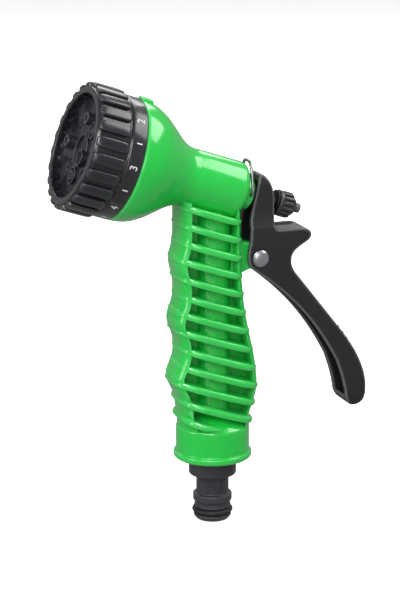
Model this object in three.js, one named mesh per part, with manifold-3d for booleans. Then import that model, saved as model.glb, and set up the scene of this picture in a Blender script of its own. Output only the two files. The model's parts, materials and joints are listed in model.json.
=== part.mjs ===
// Pistol-grip hose spray gun with a turning pattern dial, a rear squeeze lever and a quick-connect tail.
//
// Millimetres, +Z up. The origin is the centre of the tail spigot's end face. The spray leaves towards -X,
// the lever is on the +X side and the grip stands along +Z. The barrel is tilted nose-up about Y: inside
// the barrel group, +X is the barrel axis pointing back to the lever and +Z is the barrel's own up.

import * as THREE from 'three';
import { mergeVertices } from 'three/addons/utils/BufferGeometryUtils.js';
import Module from 'manifold-3d';

const wasm = await Module();
wasm.setup();

// ---------------------------------------------------------------- driving dimensions

const FIT = 0.06; // running clearance on a radius
const REST_GAP = 0.3; // gap left between faces that rest on each other
const WALL = 2.2; // moulded wall
const ROUND = 28; // segments on large turned parts
const SMALL_ROUND = 14; // segments on small turned parts
const PORT_ROUND = 10; // segments on the repeated ports of the dial

const TILT = THREE.MathUtils.degToRad(18.8); // barrel nose-up angle
const AXIS_HEIGHT = 143.7; // height where the barrel axis crosses the grip axis

const BELL_LENGTH = 29; // flare from the barrel to the dial
const BARREL_RADIUS = 12.2;
const BARREL_NOSE = -12.2; // barrel starts here, along the barrel axis
const BARREL_TAIL = 12.2; // rear face of the barrel
const BARREL_CORNER = 3.5;
const CHAMBER_RADIUS = 8.6;

const DIAL_LENGTH = 21.1;
const DIAL_RADIUS = 25.2; // label band, and the bell's mouth behind it
const PAD_HEIGHT = 1.2; // raised finger pads around the dial
const PAD_COUNT = 24;
const PAD_START = 1.4; // behind the dial's front edge
const PAD_LENGTH = 12;
const FACE_RECESS = 4;
const PATTERN_COUNT = 8;
const PATTERN_RADIUS = 11.8; // circle that the spray patterns sit on

const BALL_RADIUS = 1.5; // detent ball of the dial

const STEM_RADIUS = 2;
const GLAND_RADIUS = 6.6;
const GLAND_LENGTH = 3.7;

const GRIP_HALF_WIDTH = 12.4;
const GRIP_FRONT = -16.3;
const GRIP_REAR = 10.6;
const SWELL_HEIGHT = 58; // palm swell on the rear of the grip
const SWELL_DEPTH = 7.9;
const SWELL_SPREAD = 30;
const FINGER_RIDGES = [[112.6, 2], [87.9, 2.9], [63.5, 3.4]]; // height and depth of each ridge
const RIDGE_SPREAD = 6.2;
const TUBE_RADIUS = 7.2; // water way up the grip
const TUBE_WALL = 2.6;
const WEB_THICKNESS = 2.4;
const SPINE_THICKNESS = 3.1;
const RIB_PITCH = 7.51; // vertical pitch
const RIB_THICKNESS = 2.7;
const RIB_PROUD = 0.5; // ribs stand this far outside the spines
const RIB_DROP = 12.1; // top rib below the point where barrel and grip axes cross

const BASE_RADIUS = 15.4; // round foot of the grip
const BASE_TOP = 43;
const FLANGE_RADIUS = 16.4;
const FLANGE_BOTTOM = 27.3;
const FLANGE_TOP = 30.3;
const SOCKET_RADIUS = 8;
const SOCKET_TOP = 40.3;
const WASHER_ROOM = 2.3; // room above the shank for the flat washer

const SPIGOT_BORE = 4.5;
const SPIGOT_TIP_RADIUS = 7.9;
const SPIGOT_NECK_RADIUS = 6.85;
const SPIGOT_RIDGE_RADIUS = 8.2;
const SPIGOT_COLLAR_RADIUS = 10;
const SEAL_HEIGHT = 4; // O-ring centre above the spigot's end
const SEAL_DEPTH = 1.6; // depth of its groove

const PIVOT_X = 18.1; // lever's rivet behind the grip axis
const PIVOT_DROP = 30.9; // rivet below the point where the axes cross
const RIVET_RADIUS = 2.4;
const RIVET_HEAD_RIM = 1.1; // rivet head beyond its shank
const LEVER_HALF_WIDTH = 7.8;
const ARM_HALF_WIDTH = 6.4;
const SIDE_PLAY = 0.5; // lug to the lever's inner walls
const ARM_DEPTH = 11.9; // gland to knob washer, along the barrel axis
const ARM_TOP = 3.3; // top of the arm above the crossing of the axes
const SHELF_HEIGHT = 11.2; // thumb shelf above the rivet
const SHELF_REACH = 22.3; // tip of the shelf behind the rivet
const WAIST_BACK = 13.9; // thinnest place of the lever, behind the rivet
const SQUEEZE_DROP = 68.2; // lower end of the lever below the rivet
const SQUEEZE_REACH = 48.5; // back of the lower end behind the rivet

const KNOB_RADIUS = 5.4;
const KNOB_FLUTES = 14;
const KNOB_LENGTH = 8.2;
const WASHER_THICKNESS = 0.8;
const WASHER_RADIUS = 5;

const BAIL_WIRE = 0.65; // wire radius
const BAIL_RISE = 0.6; // foot holes above the barrel axis
const BAIL_LEAN = 3.5; // apex ahead of the feet

const SLIVER = 0.001; // smallest shell that is kept, in cubic millimetres

// ---------------------------------------------------------------- places that follow from them

const bellMouth = BARREL_NOSE - BELL_LENGTH;
const dialRear = bellMouth - REST_GAP;
const dialFront = dialRear - DIAL_LENGTH;
const faceFront = dialFront + FACE_RECESS;
const faceThickness = 2.2;
const faceRear = faceFront + faceThickness;
const dialBore = DIAL_RADIUS - 3.6;
const backPlateRear = bellMouth - 2;
const backPlateFront = backPlateRear - 3;
const plateFront = bellMouth + 0.4; // distributor plate's front face
const plateThickness = 3;
const hubRadius = 5;
const chamberRadius = 4.2; // walled chamber behind each pattern
const detentRadius = PATTERN_RADIUS + chamberRadius + 1.5;
const ballCentre = backPlateRear + BALL_RADIUS + FIT;
const seatRear = BARREL_NOSE - 0.8; // rear face of the valve seat wall
const seatThickness = 4.3;
const seatRadius = STEM_RADIUS + 4;
const glandNose = 4.3; // gland's inner end, inside the barrel
const glandPlugRadius = GLAND_RADIUS - 0.2;
const glandGroove = glandNose + 3.2; // outer seal's groove, behind the stem's seal
const glandGrooveLength = 1.8;
const glandTail = BARREL_TAIL + REST_GAP + GLAND_LENGTH;
const plugRear = -7.5;
const springRadius = STEM_RADIUS + 2.4;
const washerFront = glandTail + ARM_DEPTH;
const knobSeat = washerFront + WASHER_THICKNESS + REST_GAP;
const knobRear = knobSeat + KNOB_LENGTH;
const bailFoot = glandTail - 1.4;
const bailFootFloor = STEM_RADIUS + 2.2; // solid core left between the two foot holes
const bailApex = BARREL_RADIUS + BAIL_WIRE + 0.55;
const plugRadius = STEM_RADIUS + 4.4;
const tubeBore = TUBE_RADIUS - TUBE_WALL;
const pivotZ = AXIS_HEIGHT - PIVOT_DROP;
const lugHalfWidth = LEVER_HALF_WIDTH - WALL - SIDE_PLAY;
const ribCount = Math.ceil((AXIS_HEIGHT - RIB_DROP - BASE_TOP) / RIB_PITCH) + 1;

// ---------------------------------------------------------------- materials

const plastic = (color, roughness) => new THREE.MeshStandardMaterial({ color, roughness, metalness: 0 });
const metal = (color, roughness) => new THREE.MeshStandardMaterial({ color, roughness, metalness: 1 });

const finish = {
  green: plastic(0x2fbf55, 0.3),
  dial: plastic(0x2a282c, 0.25),
  lever: plastic(0x1f1f20, 0.5),
  tail: plastic(0x35353a, 0.45),
  inner: plastic(0xd8d8d2, 0.5),
  rubber: plastic(0x151515, 0.85),
  steel: metal(0xb9bcc0, 0.3),
  brass: metal(0xc8a24a, 0.35),
};

// ---------------------------------------------------------------- solids

/** Signed volume of a triangle list, positive when its faces point outwards. */
function signedVolume(positions, triangles) {
  const [a, b, c] = [new THREE.Vector3(), new THREE.Vector3(), new THREE.Vector3()];
  let volume = 0;
  for (let i = 0; i < triangles.length; i += 3) {
    a.fromArray(positions, triangles[i] * 3);
    b.fromArray(positions, triangles[i + 1] * 3);
    c.fromArray(positions, triangles[i + 2] * 3);
    volume += a.dot(b.cross(c)) / 6;
  }
  return volume;
}

/** Turns a closed geometry into a solid, whichever way its faces point. */
function toSolid(geometry) {
  const bare = new THREE.BufferGeometry();
  bare.setAttribute('position', geometry.attributes.position.clone());
  bare.setIndex(geometry.index);
  const merged = mergeVertices(bare, 1e-4);
  const index = merged.index.array;
  const triangles = [];
  for (let i = 0; i < index.length; i += 3) {
    const [a, b, c] = [index[i], index[i + 1], index[i + 2]];
    if (a !== b && b !== c && c !== a) triangles.push(a, b, c);
  }
  const positions = new Float32Array(merged.attributes.position.array);
  if (signedVolume(positions, triangles) < 0) triangles.reverse();
  const triVerts = new Uint32Array(triangles);
  return new wasm.Manifold(new wasm.Mesh({ numProp: 3, vertProperties: positions, triVerts }));
}

/** Joins a list of solids. */
const join = (solids) => solids.reduce((whole, next) => whole.add(next));

/** Cuts a list of solids from the first. */
const cut = (solid, tools) => tools.reduce((rest, tool) => rest.subtract(tool), solid);

/** Drops the sliver shells that rounding leaves where faces meet. */
function withoutSlivers(solid) {
  const shells = solid.decompose();
  if (shells.length === 1) return solid;
  return wasm.Manifold.compose(shells.filter((shell) => Math.abs(shell.volume()) > SLIVER));
}

/** Named mesh from a solid. */
function meshOf(name, solid, material) {
  const { vertProperties, triVerts, numProp } = withoutSlivers(solid).getMesh();
  const positions = new Float32Array((vertProperties.length / numProp) * 3);
  for (let i = 0; i < positions.length / 3; i += 1) {
    for (let k = 0; k < 3; k += 1) positions[i * 3 + k] = vertProperties[i * numProp + k];
  }
  const geometry = new THREE.BufferGeometry();
  geometry.setAttribute('position', new THREE.BufferAttribute(positions, 3));
  geometry.setIndex(new THREE.BufferAttribute(new Uint32Array(triVerts), 1));
  geometry.computeVertexNormals();
  const mesh = new THREE.Mesh(geometry, material);
  mesh.name = name;
  return mesh;
}

/** Turned geometry about the Y axis from [radius, height] pairs. */
function latheGeometry(profile, segments) {
  const points = profile.map(([radius, height]) => new THREE.Vector2(radius, height));
  return new THREE.LatheGeometry(points, segments);
}

/** Solid turned about the barrel axis, +X; the pairs are [radius, distance along X]. */
const turnedX = (profile, segments = ROUND) =>
  toSolid(latheGeometry(profile, segments).rotateZ(-Math.PI / 2));

/** Solid turned about +Z; the pairs are [radius, height]. */
const turnedZ = (profile, segments = ROUND) =>
  toSolid(latheGeometry(profile, segments).rotateX(Math.PI / 2));

/** Closed ring profile between two radii and two stations. */
const ringProfile = (inner, outer, from, to) =>
  [[inner, from], [outer, from], [outer, to], [inner, to], [inner, from]];

/** Solid rod profile. */
const rodProfile = (radius, from, to) => [[0, from], [radius, from], [radius, to], [0, to]];

const ringX = (inner, outer, from, to, segments = SMALL_ROUND) =>
  turnedX(ringProfile(inner, outer, from, to), segments);
const rodX = (radius, from, to, segments = SMALL_ROUND) => turnedX(rodProfile(radius, from, to), segments);
const rodZ = (radius, from, to, segments = ROUND) => turnedZ(rodProfile(radius, from, to), segments);

/** Rod along Y, centred on y = 0. */
function rodY(radius, length, x, z, segments = SMALL_ROUND) {
  return toSolid(new THREE.CylinderGeometry(radius, radius, length, segments).translate(x, 0, z));
}

/** Radius of a faceted hole whose flats clear a round shaft by the gap. */
const holeFor = (radius, gap = FIT, segments = SMALL_ROUND) => (radius + gap) / Math.cos(Math.PI / segments);

/** Toroidal ring about the barrel axis. */
function ringSealX(centreRadius, wireRadius, x) {
  const ring = new THREE.TorusGeometry(centreRadius, wireRadius, 8, SMALL_ROUND);
  return toSolid(ring.rotateY(Math.PI / 2).translate(x, 0, 0));
}

/** Flat shape in X and Z, given width along Y and centred on y = 0. */
function plateXZ(shape, width, curveSegments = 10) {
  const geometry = new THREE.ExtrudeGeometry(shape, { depth: width, bevelEnabled: false, curveSegments });
  return toSolid(geometry.rotateX(Math.PI / 2).translate(0, width / 2, 0));
}

/** Shape in Y and Z run along the barrel axis from one station to another. */
function barAlongX(shape, from, to, curveSegments = 10) {
  const geometry = new THREE.ExtrudeGeometry(shape, { depth: to - from, bevelEnabled: false, curveSegments });
  const turn = new THREE.Matrix4().makeBasis(
    new THREE.Vector3(0, 1, 0), new THREE.Vector3(0, 0, 1), new THREE.Vector3(1, 0, 0));
  return toSolid(geometry.applyMatrix4(turn).translate(from, 0, 0));
}

/** Box with its centre. */
function block(sizeX, sizeY, sizeZ, x, y, z) {
  return toSolid(new THREE.BoxGeometry(sizeX, sizeY, sizeZ).translate(x, y, z));
}

/** Closed polygon from [x, z] pairs. */
const polygon = (points) => new THREE.Shape(points.map(([x, z]) => new THREE.Vector2(x, z)));

/** Moves a solid made in the barrel frame to the gun's frame. */
function fromBarrel(solid) {
  return solid.rotate([0, THREE.MathUtils.radToDeg(TILT), 0]).translate([0, 0, AXIS_HEIGHT]);
}

/** Point of the barrel frame, as [x, z] of the gun's frame measured from the lever's rivet. */
function fromRivet(along, above) {
  const [c, s] = [Math.cos(TILT), Math.sin(TILT)];
  return [along * c + above * s - PIVOT_X, PIVOT_DROP - along * s + above * c];
}

/** Moves a solid made about the lever's rivet to the gun's frame. */
const atPivot = (solid) => solid.translate([PIVOT_X, 0, pivotZ]);

/** Solid through closed rings of points, each ring at one height. */
function loft(rings) {
  const count = rings[0].length;
  const positions = rings.flat().flat();
  const index = [];
  for (let level = 0; level + 1 < rings.length; level += 1) {
    for (let i = 0; i < count; i += 1) {
      const j = (i + 1) % count;
      const [a, b] = [level * count + i, level * count + j];
      index.push(a, b, b + count, a, b + count, a + count);
    }
  }
  for (const level of [0, rings.length - 1]) {
    const centre = positions.length / 3;
    const ring = rings[level];
    for (let k = 0; k < 3; k += 1) positions.push(ring.reduce((sum, point) => sum + point[k], 0) / count);
    for (let i = 0; i < count; i += 1) {
      const [a, b] = [level * count + i, level * count + ((i + 1) % count)];
      index.push(...(level === 0 ? [centre, b, a] : [centre, a, b]));
    }
  }
  const geometry = new THREE.BufferGeometry();
  geometry.setAttribute('position', new THREE.Float32BufferAttribute(positions, 3));
  geometry.setIndex(index);
  return toSolid(geometry);
}

/** Places of a polar pattern: calls make(angle, y, z) for each and joins what it returns. */
function polar(count, radius, make, start = 0) {
  const solids = [];
  for (let i = 0; i < count; i += 1) {
    const angle = start + (i * 2 * Math.PI) / count;
    solids.push(make(angle, radius * Math.cos(angle), radius * Math.sin(angle)));
  }
  return join(solids);
}

// ---------------------------------------------------------------- housing: barrel, bell and ribbed grip

/** Outer radius of the bell at a share of its length, 0 at the mouth and 1 at the barrel. */
function bellRadius(share) {
  const blend = (1 + Math.cos(Math.PI * share ** 1.27)) / 2;
  return BARREL_RADIUS + (DIAL_RADIUS - BARREL_RADIUS) * blend;
}

/** Bell profile from the mouth to the barrel, shrunk by a wall. */
function bellProfile(inset, steps = 9) {
  const points = [];
  for (let i = 0; i <= steps; i += 1) {
    points.push([bellRadius(i / steps) - inset, bellMouth + (BELL_LENGTH * i) / steps]);
  }
  return points;
}

/** Outside of the bell and barrel, with a rounded rear corner. */
function barrelOutside() {
  const corner = [];
  for (let i = 0; i <= 4; i += 1) {
    const angle = (i * Math.PI) / 8;
    const radius = BARREL_RADIUS - BARREL_CORNER + BARREL_CORNER * Math.cos(angle);
    corner.push([radius, BARREL_TAIL - BARREL_CORNER + BARREL_CORNER * Math.sin(angle)]);
  }
  return turnedX([[0, bellMouth], ...bellProfile(0), ...corner, [0, BARREL_TAIL]]);
}

/** Water chamber, bell hollow, plate ledge, valve seat hole and gland bore. */
function barrelHollows() {
  const ledge = plateFront + plateThickness + REST_GAP;
  const ledgeBore = DIAL_RADIUS - 2 * WALL + 0.2;
  const hollowEnd = seatRear - seatThickness - 1;
  const hollow = bellProfile(WALL).filter(([radius, x]) => radius < ledgeBore && x < hollowEnd);
  return [
    turnedX([[0, ledge - 0.1], [ledgeBore, ledge - 0.1], ...hollow, [0, hollow.at(-1)[1]]]),
    rodX(DIAL_RADIUS - WALL, bellMouth - 1, ledge, ROUND),
    rodX(holeFor(seatRadius), seatRear - seatThickness - 4, seatRear),
    rodX(CHAMBER_RADIUS, seatRear - 0.01, glandNose, ROUND),
    rodX(holeFor(glandPlugRadius, 0.1, ROUND), glandNose - 0.01, BARREL_TAIL + 1, ROUND),
  ];
}

/** Front and rear limits of the grip at a height. */
function gripSpan(z) {
  const bump = (at, spread) => Math.exp(-(((z - at) / spread) ** 2));
  const ridges = FINGER_RIDGES.reduce((sum, [at, depth]) => sum + depth * bump(at, RIDGE_SPREAD), 0);
  return [GRIP_FRONT - ridges, GRIP_REAR + SWELL_DEPTH * bump(SWELL_HEIGHT, SWELL_SPREAD)];
}

/** Closed body of the grip, moved in or out at the front, rear and sides. */
function gripBody(frontInset, rearInset, sideInset, squareness = 3.4) {
  const bottom = FLANGE_TOP;
  const top = AXIS_HEIGHT - 5;
  const levels = 14;
  const around = 16;
  const rings = [];
  for (let level = 0; level <= levels; level += 1) {
    const z = bottom + ((top - bottom) * level) / levels;
    const [front, rear] = gripSpan(z);
    const foot = THREE.MathUtils.smoothstep(z, BASE_TOP - 1, BASE_TOP + 17);
    const x0 = THREE.MathUtils.lerp(-BASE_RADIUS, front, foot) + frontInset;
    const x1 = THREE.MathUtils.lerp(BASE_RADIUS, rear, foot) - rearInset;
    const halfWidth = THREE.MathUtils.lerp(BASE_RADIUS, GRIP_HALF_WIDTH, foot) - sideInset;
    const power = 2 / THREE.MathUtils.lerp(2, squareness, foot);
    const ring = [];
    for (let i = 0; i < around; i += 1) {
      const angle = (i * 2 * Math.PI) / around;
      const [c, s] = [Math.cos(angle), Math.sin(angle)];
      const x = (x0 + x1) / 2 + ((x1 - x0) / 2) * Math.sign(c) * Math.abs(c) ** power;
      ring.push([x, halfWidth * Math.sign(s) * Math.abs(s) ** power, z]);
    }
    rings.push(ring);
  }
  return loft(rings);
}

/** Slanted ribs that run parallel to the barrel. */
function gripRibs() {
  const top = AXIS_HEIGHT - RIB_DROP;
  const slab = block(70, 50, RIB_THICKNESS, 0, 0, 0).rotate([0, THREE.MathUtils.radToDeg(TILT), 0]);
  const slabs = [];
  for (let i = 0; i < ribCount; i += 1) slabs.push(slab.translate([0, 0, top - i * RIB_PITCH]));
  return join(slabs).intersect(gripBody(0, 0, 0));
}

/** Front and rear spines and the middle web that tie the ribs together. */
function gripSpines() {
  const skin = gripBody(RIB_PROUD, RIB_PROUD, RIB_PROUD);
  const middle = gripBody(RIB_PROUD + SPINE_THICKNESS, RIB_PROUD + SPINE_THICKNESS, -8, 9);
  const web = block(60, WEB_THICKNESS, 130, 0, 0, 90).intersect(skin);
  return skin.subtract(middle).add(web);
}

/** Round foot of the grip with its flange and the cone up to the water way. */
function gripFoot() {
  const cone = 4;
  return turnedZ([
    [0, FLANGE_BOTTOM], [FLANGE_RADIUS - 1.4, FLANGE_BOTTOM], [FLANGE_RADIUS, FLANGE_BOTTOM + 0.9],
    [FLANGE_RADIUS, FLANGE_TOP], [BASE_RADIUS, FLANGE_TOP], [BASE_RADIUS, BASE_TOP - 1.5],
    [BASE_RADIUS - 1.5, BASE_TOP], [TUBE_RADIUS + 2, BASE_TOP + cone - 1.5], [TUBE_RADIUS, BASE_TOP + cone],
    [0, BASE_TOP + cone],
  ]);
}

/** Lug on the back of the grip that carries the lever's rivet. */
function pivotLug() {
  const root = GRIP_REAR - 4.6 - PIVOT_X;
  const eye = RIVET_RADIUS + 2.4;
  const shape = polygon([
    [root, 8.5], [root + 5, 7], [-3.4, 6.2], [eye / 2, eye - 0.4], [eye, 0], [eye / 2, -4.2],
    [-3.2, -eye + 0.2], [root + 4, -6.5], [root, -8.5],
  ]);
  return atPivot(plateXZ(shape, 2 * lugHalfWidth));
}

/** Raised pointer on top of the bell that shows the chosen pattern. */
function pointerTab() {
  const length = 5;
  const height = 3;
  const top = DIAL_RADIUS + 0.9;
  return block(length, 6, height, bellMouth + length / 2, 0, top - height / 2);
}

function housing() {
  const barrel = fromBarrel(join([barrelOutside(), pointerTab()]));
  const tube = rodZ(TUBE_RADIUS, FLANGE_TOP, AXIS_HEIGHT);
  const behindBarrel = fromBarrel(rodX(BARREL_RADIUS + 1, BARREL_TAIL - 1.5, BARREL_TAIL + 20));
  const grip = gripRibs().add(gripSpines()).subtract(behindBarrel);
  const whole = join([barrel, grip, tube, gripFoot(), pivotLug()]);
  return cut(whole, [
    ...barrelHollows().map(fromBarrel),
    rodZ(tubeBore, FLANGE_BOTTOM - 1, AXIS_HEIGHT),
    rodZ(SOCKET_RADIUS, FLANGE_BOTTOM - 1, SOCKET_TOP),
    rodY(holeFor(RIVET_RADIUS), 40, PIVOT_X, pivotZ),
  ]);
}

// ---------------------------------------------------------------- front: distributor plate and dial

/** Plate in the bell's mouth: hub that the dial turns on, outlet port and detent pocket. */
function distributorPlate() {
  const rear = plateFront + plateThickness;
  const disc = rodX(DIAL_RADIUS - WALL - 0.25, plateFront, rear, ROUND);
  const hub = rodX(hubRadius, backPlateFront - 0.2, plateFront + 1, ROUND);
  const pocketBoss = rodX(BALL_RADIUS + 1.3, rear - 1, rear + 3).translate([0, detentRadius, 0]);
  return cut(join([disc, hub, pocketBoss]), [
    rodX(3.7, plateFront - 1, rear + 1).translate([0, 0, PATTERN_RADIUS]),
    rodX(holeFor(BALL_RADIUS, 0.16), plateFront - 1, rear + 2).translate([0, detentRadius, 0]),
    rodX(1.7, backPlateFront - 1, plateFront + 2),
  ]);
}

function outletSeal() {
  const seal = ringX(2.5, 3.5, backPlateRear + REST_GAP, plateFront + 2);
  return seal.translate([0, 0, PATTERN_RADIUS]);
}

/** Detent ball at the height where it rides on the flat between two dimples. */
function detentBall() {
  return toSolid(new THREE.SphereGeometry(BALL_RADIUS, 12, 8)).translate([ballCentre, detentRadius, 0]);
}

/** Helical compression spring along the barrel axis. */
function spring(coilRadius, wireRadius, from, to, coils) {
  const stepsPerCoil = 10;
  const points = [];
  const steps = coils * stepsPerCoil;
  for (let i = 0; i <= steps; i += 1) {
    const angle = (i * 2 * Math.PI) / stepsPerCoil;
    const x = from + wireRadius + ((to - from - 2 * wireRadius) * i) / steps;
    points.push(new THREE.Vector3(x, coilRadius * Math.cos(angle), coilRadius * Math.sin(angle)));
  }
  const path = new THREE.CatmullRomCurve3(points);
  const section = new THREE.Shape().absarc(0, 0, wireRadius, 0, 2 * Math.PI);
  return toSolid(new THREE.ExtrudeGeometry(section, { extrudePath: path, steps, curveSegments: 3 }));
}

function detentSpring() {
  const [front, rear] = [ballCentre + BALL_RADIUS + 0.1, plateFront + plateThickness + 1.7];
  const coil = spring(BALL_RADIUS - 0.4, 0.2, front, rear, 3);
  return coil.translate([0, detentRadius, 0]);
}

/** Rear plate of the dial: turns on the hub and has one walled chamber for each pattern. */
function dialBackPlate() {
  const disc = rodX(dialBore - 0.25, backPlateFront, backPlateRear, ROUND);
  const walls = polar(PATTERN_COUNT, PATTERN_RADIUS, (angle, y, z) =>
    rodX(chamberRadius, faceRear + REST_GAP, backPlateFront + 1, PORT_ROUND).translate([0, y, z]));
  const chambers = polar(PATTERN_COUNT, PATTERN_RADIUS, (angle, y, z) =>
    rodX(chamberRadius - 0.9, faceRear - 1, backPlateFront, PORT_ROUND).translate([0, y, z]));
  const ports = polar(PATTERN_COUNT, PATTERN_RADIUS, (angle, y, z) =>
    rodX(2.2, faceRear, backPlateRear + 1, PORT_ROUND).translate([0, y, z]));
  const dimples = polar(PATTERN_COUNT, detentRadius, (angle, y, z) =>
    toSolid(new THREE.SphereGeometry(BALL_RADIUS + 0.4, 10, 8)).translate([backPlateRear + 1.15, y, z]));
  const hubHole = rodX(holeFor(hubRadius, 0.08, ROUND), backPlateFront - 1, backPlateRear + 1, ROUND);
  return cut(disc.add(walls), [chambers, ports, dimples, hubHole]);
}

/** Fluted outline of the dial's finger pads. */
function padOutline(root, crest, count, land) {
  const shape = new THREE.Shape();
  for (let i = 0; i < count; i += 1) {
    for (const [offset, radius] of [[-0.5, root], [-land / 2, crest], [0, crest], [land / 2, crest]]) {
      const angle = ((i + offset) * 2 * Math.PI) / count;
      const point = [radius * Math.cos(angle), radius * Math.sin(angle)];
      if (i === 0 && offset === -0.5) shape.moveTo(...point);
      else shape.lineTo(...point);
    }
  }
  shape.closePath();
  return shape;
}

/** Knurled outer ring of the dial with its label band and toothed front recess. */
function dialRing() {
  const padFront = dialFront + PAD_START;
  const padRear = padFront + PAD_LENGTH;
  const bandFront = padRear + 1.6;
  const root = DIAL_RADIUS - 0.1;
  const core = turnedX([
    [0, dialFront], [root - 1, dialFront], [root, padFront], [root, padRear], [root - 0.4, bandFront],
    [DIAL_RADIUS, bandFront + 0.3], [DIAL_RADIUS, dialRear], [0, dialRear],
  ], 2 * PAD_COUNT);
  const outline = padOutline(root - 0.4, DIAL_RADIUS + PAD_HEIGHT, PAD_COUNT, 0.62);
  const pads = barAlongX(outline, padFront, padRear);
  const ledge = dialBore - 1.2;
  const notches = polar(PAD_COUNT, dialBore + 0.6, (angle) => {
    const notch = block(FACE_RECESS - 0.8, 2.9, 2.6, (dialFront + faceFront) / 2 + 0.4, 0, dialBore + 0.3);
    return notch.rotate([THREE.MathUtils.radToDeg(angle), 0, 0]);
  });
  return cut(core.add(pads), [
    rodX(dialBore, dialFront - 1, faceRear + 0.3, ROUND),
    rodX(ledge, faceRear, backPlateFront, ROUND),
    rodX(dialBore, backPlateFront - REST_GAP, dialRear + 1, ROUND),
    notches,
  ]);
}

/** Front plate of the dial: a cup or port for each pattern around a flat middle disc. */
function nozzlePlate() {
  const plate = rodX(dialBore - 0.25, faceFront, faceRear, ROUND);
  const raised = polar(PATTERN_COUNT, PATTERN_RADIUS, (angle, y, z) =>
    rodX(3.5, faceFront - 1, faceFront + 0.5, PORT_ROUND).translate([0, y, z]));
  const cups = polar(PATTERN_COUNT, PATTERN_RADIUS, (angle, y, z) =>
    rodX(2.7, faceFront - 2, faceFront + 0.9, PORT_ROUND).translate([0, y, z]));
  const ports = polar(PATTERN_COUNT, PATTERN_RADIUS, (angle, y, z) =>
    rodX(1.3, faceFront - 2, faceRear + 1, PORT_ROUND).translate([0, y, z]));
  const middle = rodX(6.4, faceFront - 0.8, faceFront + 0.5, ROUND);
  const dish = rodX(5.4, faceFront - 2, faceFront - 0.2, ROUND);
  const jetSeat = rodX(holeFor(2.6, 0.1), faceFront - 2, faceFront + 0.9).translate([0, PATTERN_RADIUS, 0]);
  return cut(join([plate, raised, middle]), [cups, ports, dish, jetSeat]);
}

/** Tall jet nozzle pressed into its cup. */
function jetNozzle() {
  return ringX(1.2, 2.6, dialFront + 0.6, faceFront + 0.6).translate([0, PATTERN_RADIUS, 0]);
}

/** Grooved plug that makes the water swirl behind a fine port. */
function swirlPlug(angle) {
  const front = faceRear + REST_GAP;
  const plug = rodX(2.9, front, front + 3);
  const slots = join([block(8, 1, 8, front + 1, 0, 0), block(8, 8, 1, front + 1, 0, 0)]);
  const core = rodX(1.5, front - 1, front + 4);
  const cutter = slots.subtract(core).intersect(block(3, 8, 8, front + 1.2, 0, 0));
  const place = [0, PATTERN_RADIUS * Math.cos(angle), PATTERN_RADIUS * Math.sin(angle)];
  return plug.subtract(cutter).translate(place);
}

/** Pan-head screw on the barrel axis with its head facing forwards. */
function dialScrew() {
  const under = backPlateFront - 1.4;
  return turnedX([
    [0, under - 1.8], [2.6, under - 1.8], [3.6, under - 1], [3.6, under], [1.4, under], [1.4, plateFront + 1],
    [0, plateFront + 1],
  ], SMALL_ROUND);
}

function dialWasher() {
  return ringX(holeFor(1.5, 0.2), 7, backPlateFront - 1.1, backPlateFront - REST_GAP);
}

// ---------------------------------------------------------------- valve

function valveSeat() {
  return ringX(seatRadius - 2, seatRadius - 0.1, seatRear - seatThickness, seatRear + 0.2);
}

/** Stem from the valve plug, through the gland and the lever, to the knob's thread. */
function valveStem() {
  const front = seatRear + 0.4;
  const tip = knobRear + 2.7;
  const rod = turnedX([
    [0, front], [STEM_RADIUS, front], [STEM_RADIUS, tip - 0.6], [STEM_RADIUS - 0.5, tip], [0, tip],
  ], SMALL_ROUND);
  return rod.subtract(rodX(STEM_RADIUS - 0.75, front - 1, front + 6));
}

const plugSeal = () => ringX(holeFor(STEM_RADIUS), plugRadius - 0.8, seatRear + 0.5, seatRear + 1.9);
const valvePlug = () => ringX(holeFor(STEM_RADIUS), plugRadius, seatRear + 2.2, plugRear);

function plugScrew() {
  const under = seatRear + 0.1;
  const head = STEM_RADIUS + 1.1;
  const shank = STEM_RADIUS - 1;
  return turnedX([
    [0, under - 1.2], [head, under - 1.2], [head, under], [shank, under], [shank, under + 5], [0, under + 5],
  ], SMALL_ROUND);
}

const returnSpring = () => spring(springRadius, 0.45, plugRear + 0.2, glandNose - 1.2, 5);
const springWasher = () =>
  ringX(holeFor(STEM_RADIUS, 0.3), glandPlugRadius - 0.2, glandNose - 1, glandNose - REST_GAP);
const stemSeal = () => ringSealX(STEM_RADIUS + 0.12 + 0.85, 0.85, glandNose + 1.6);
const glandSeal = () => ringSealX(glandPlugRadius - 0.75, 0.75, glandGroove + glandGrooveLength / 2);

/** Gland nut that closes the barrel, guides the stem and carries the bail. */
function rearGland() {
  const shoulder = BARREL_TAIL + REST_GAP;
  const sealGroove = ringX(
    glandPlugRadius - 1.6, glandPlugRadius + 1, glandGroove, glandGroove + glandGrooveLength, ROUND);
  const body = turnedX([
    [0, glandNose], [glandPlugRadius, glandNose], [glandPlugRadius, shoulder], [GLAND_RADIUS, shoulder],
    [GLAND_RADIUS, glandTail - 0.8], [GLAND_RADIUS - 0.8, glandTail], [0, glandTail],
  ]);
  const solidCore = block(30, 2 * bailFootFloor, 30, bailFoot, 0, 0);
  const footHoles = rodY(holeFor(BAIL_WIRE, 0.1), 40, bailFoot, BAIL_RISE).subtract(solidCore);
  return cut(body, [
    rodX(holeFor(STEM_RADIUS), glandNose - 1, glandTail + 1),
    rodX(STEM_RADIUS + 2, glandNose - 1, glandNose + 2.6),
    sealGroove,
    footHoles,
  ]);
}

// ---------------------------------------------------------------- lever, rivet, knob and bail

/** Front and rear edges of the lever's arm, clear of the gland and the knob washer. */
function armEdges() {
  const [rear] = fromRivet(washerFront, -WASHER_RADIUS);
  const low = fromRivet(glandTail + 1.9, -9);
  const high = fromRivet(glandTail + 0.4, GLAND_RADIUS);
  return { low, high, rear: rear - 0.4 };
}

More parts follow.
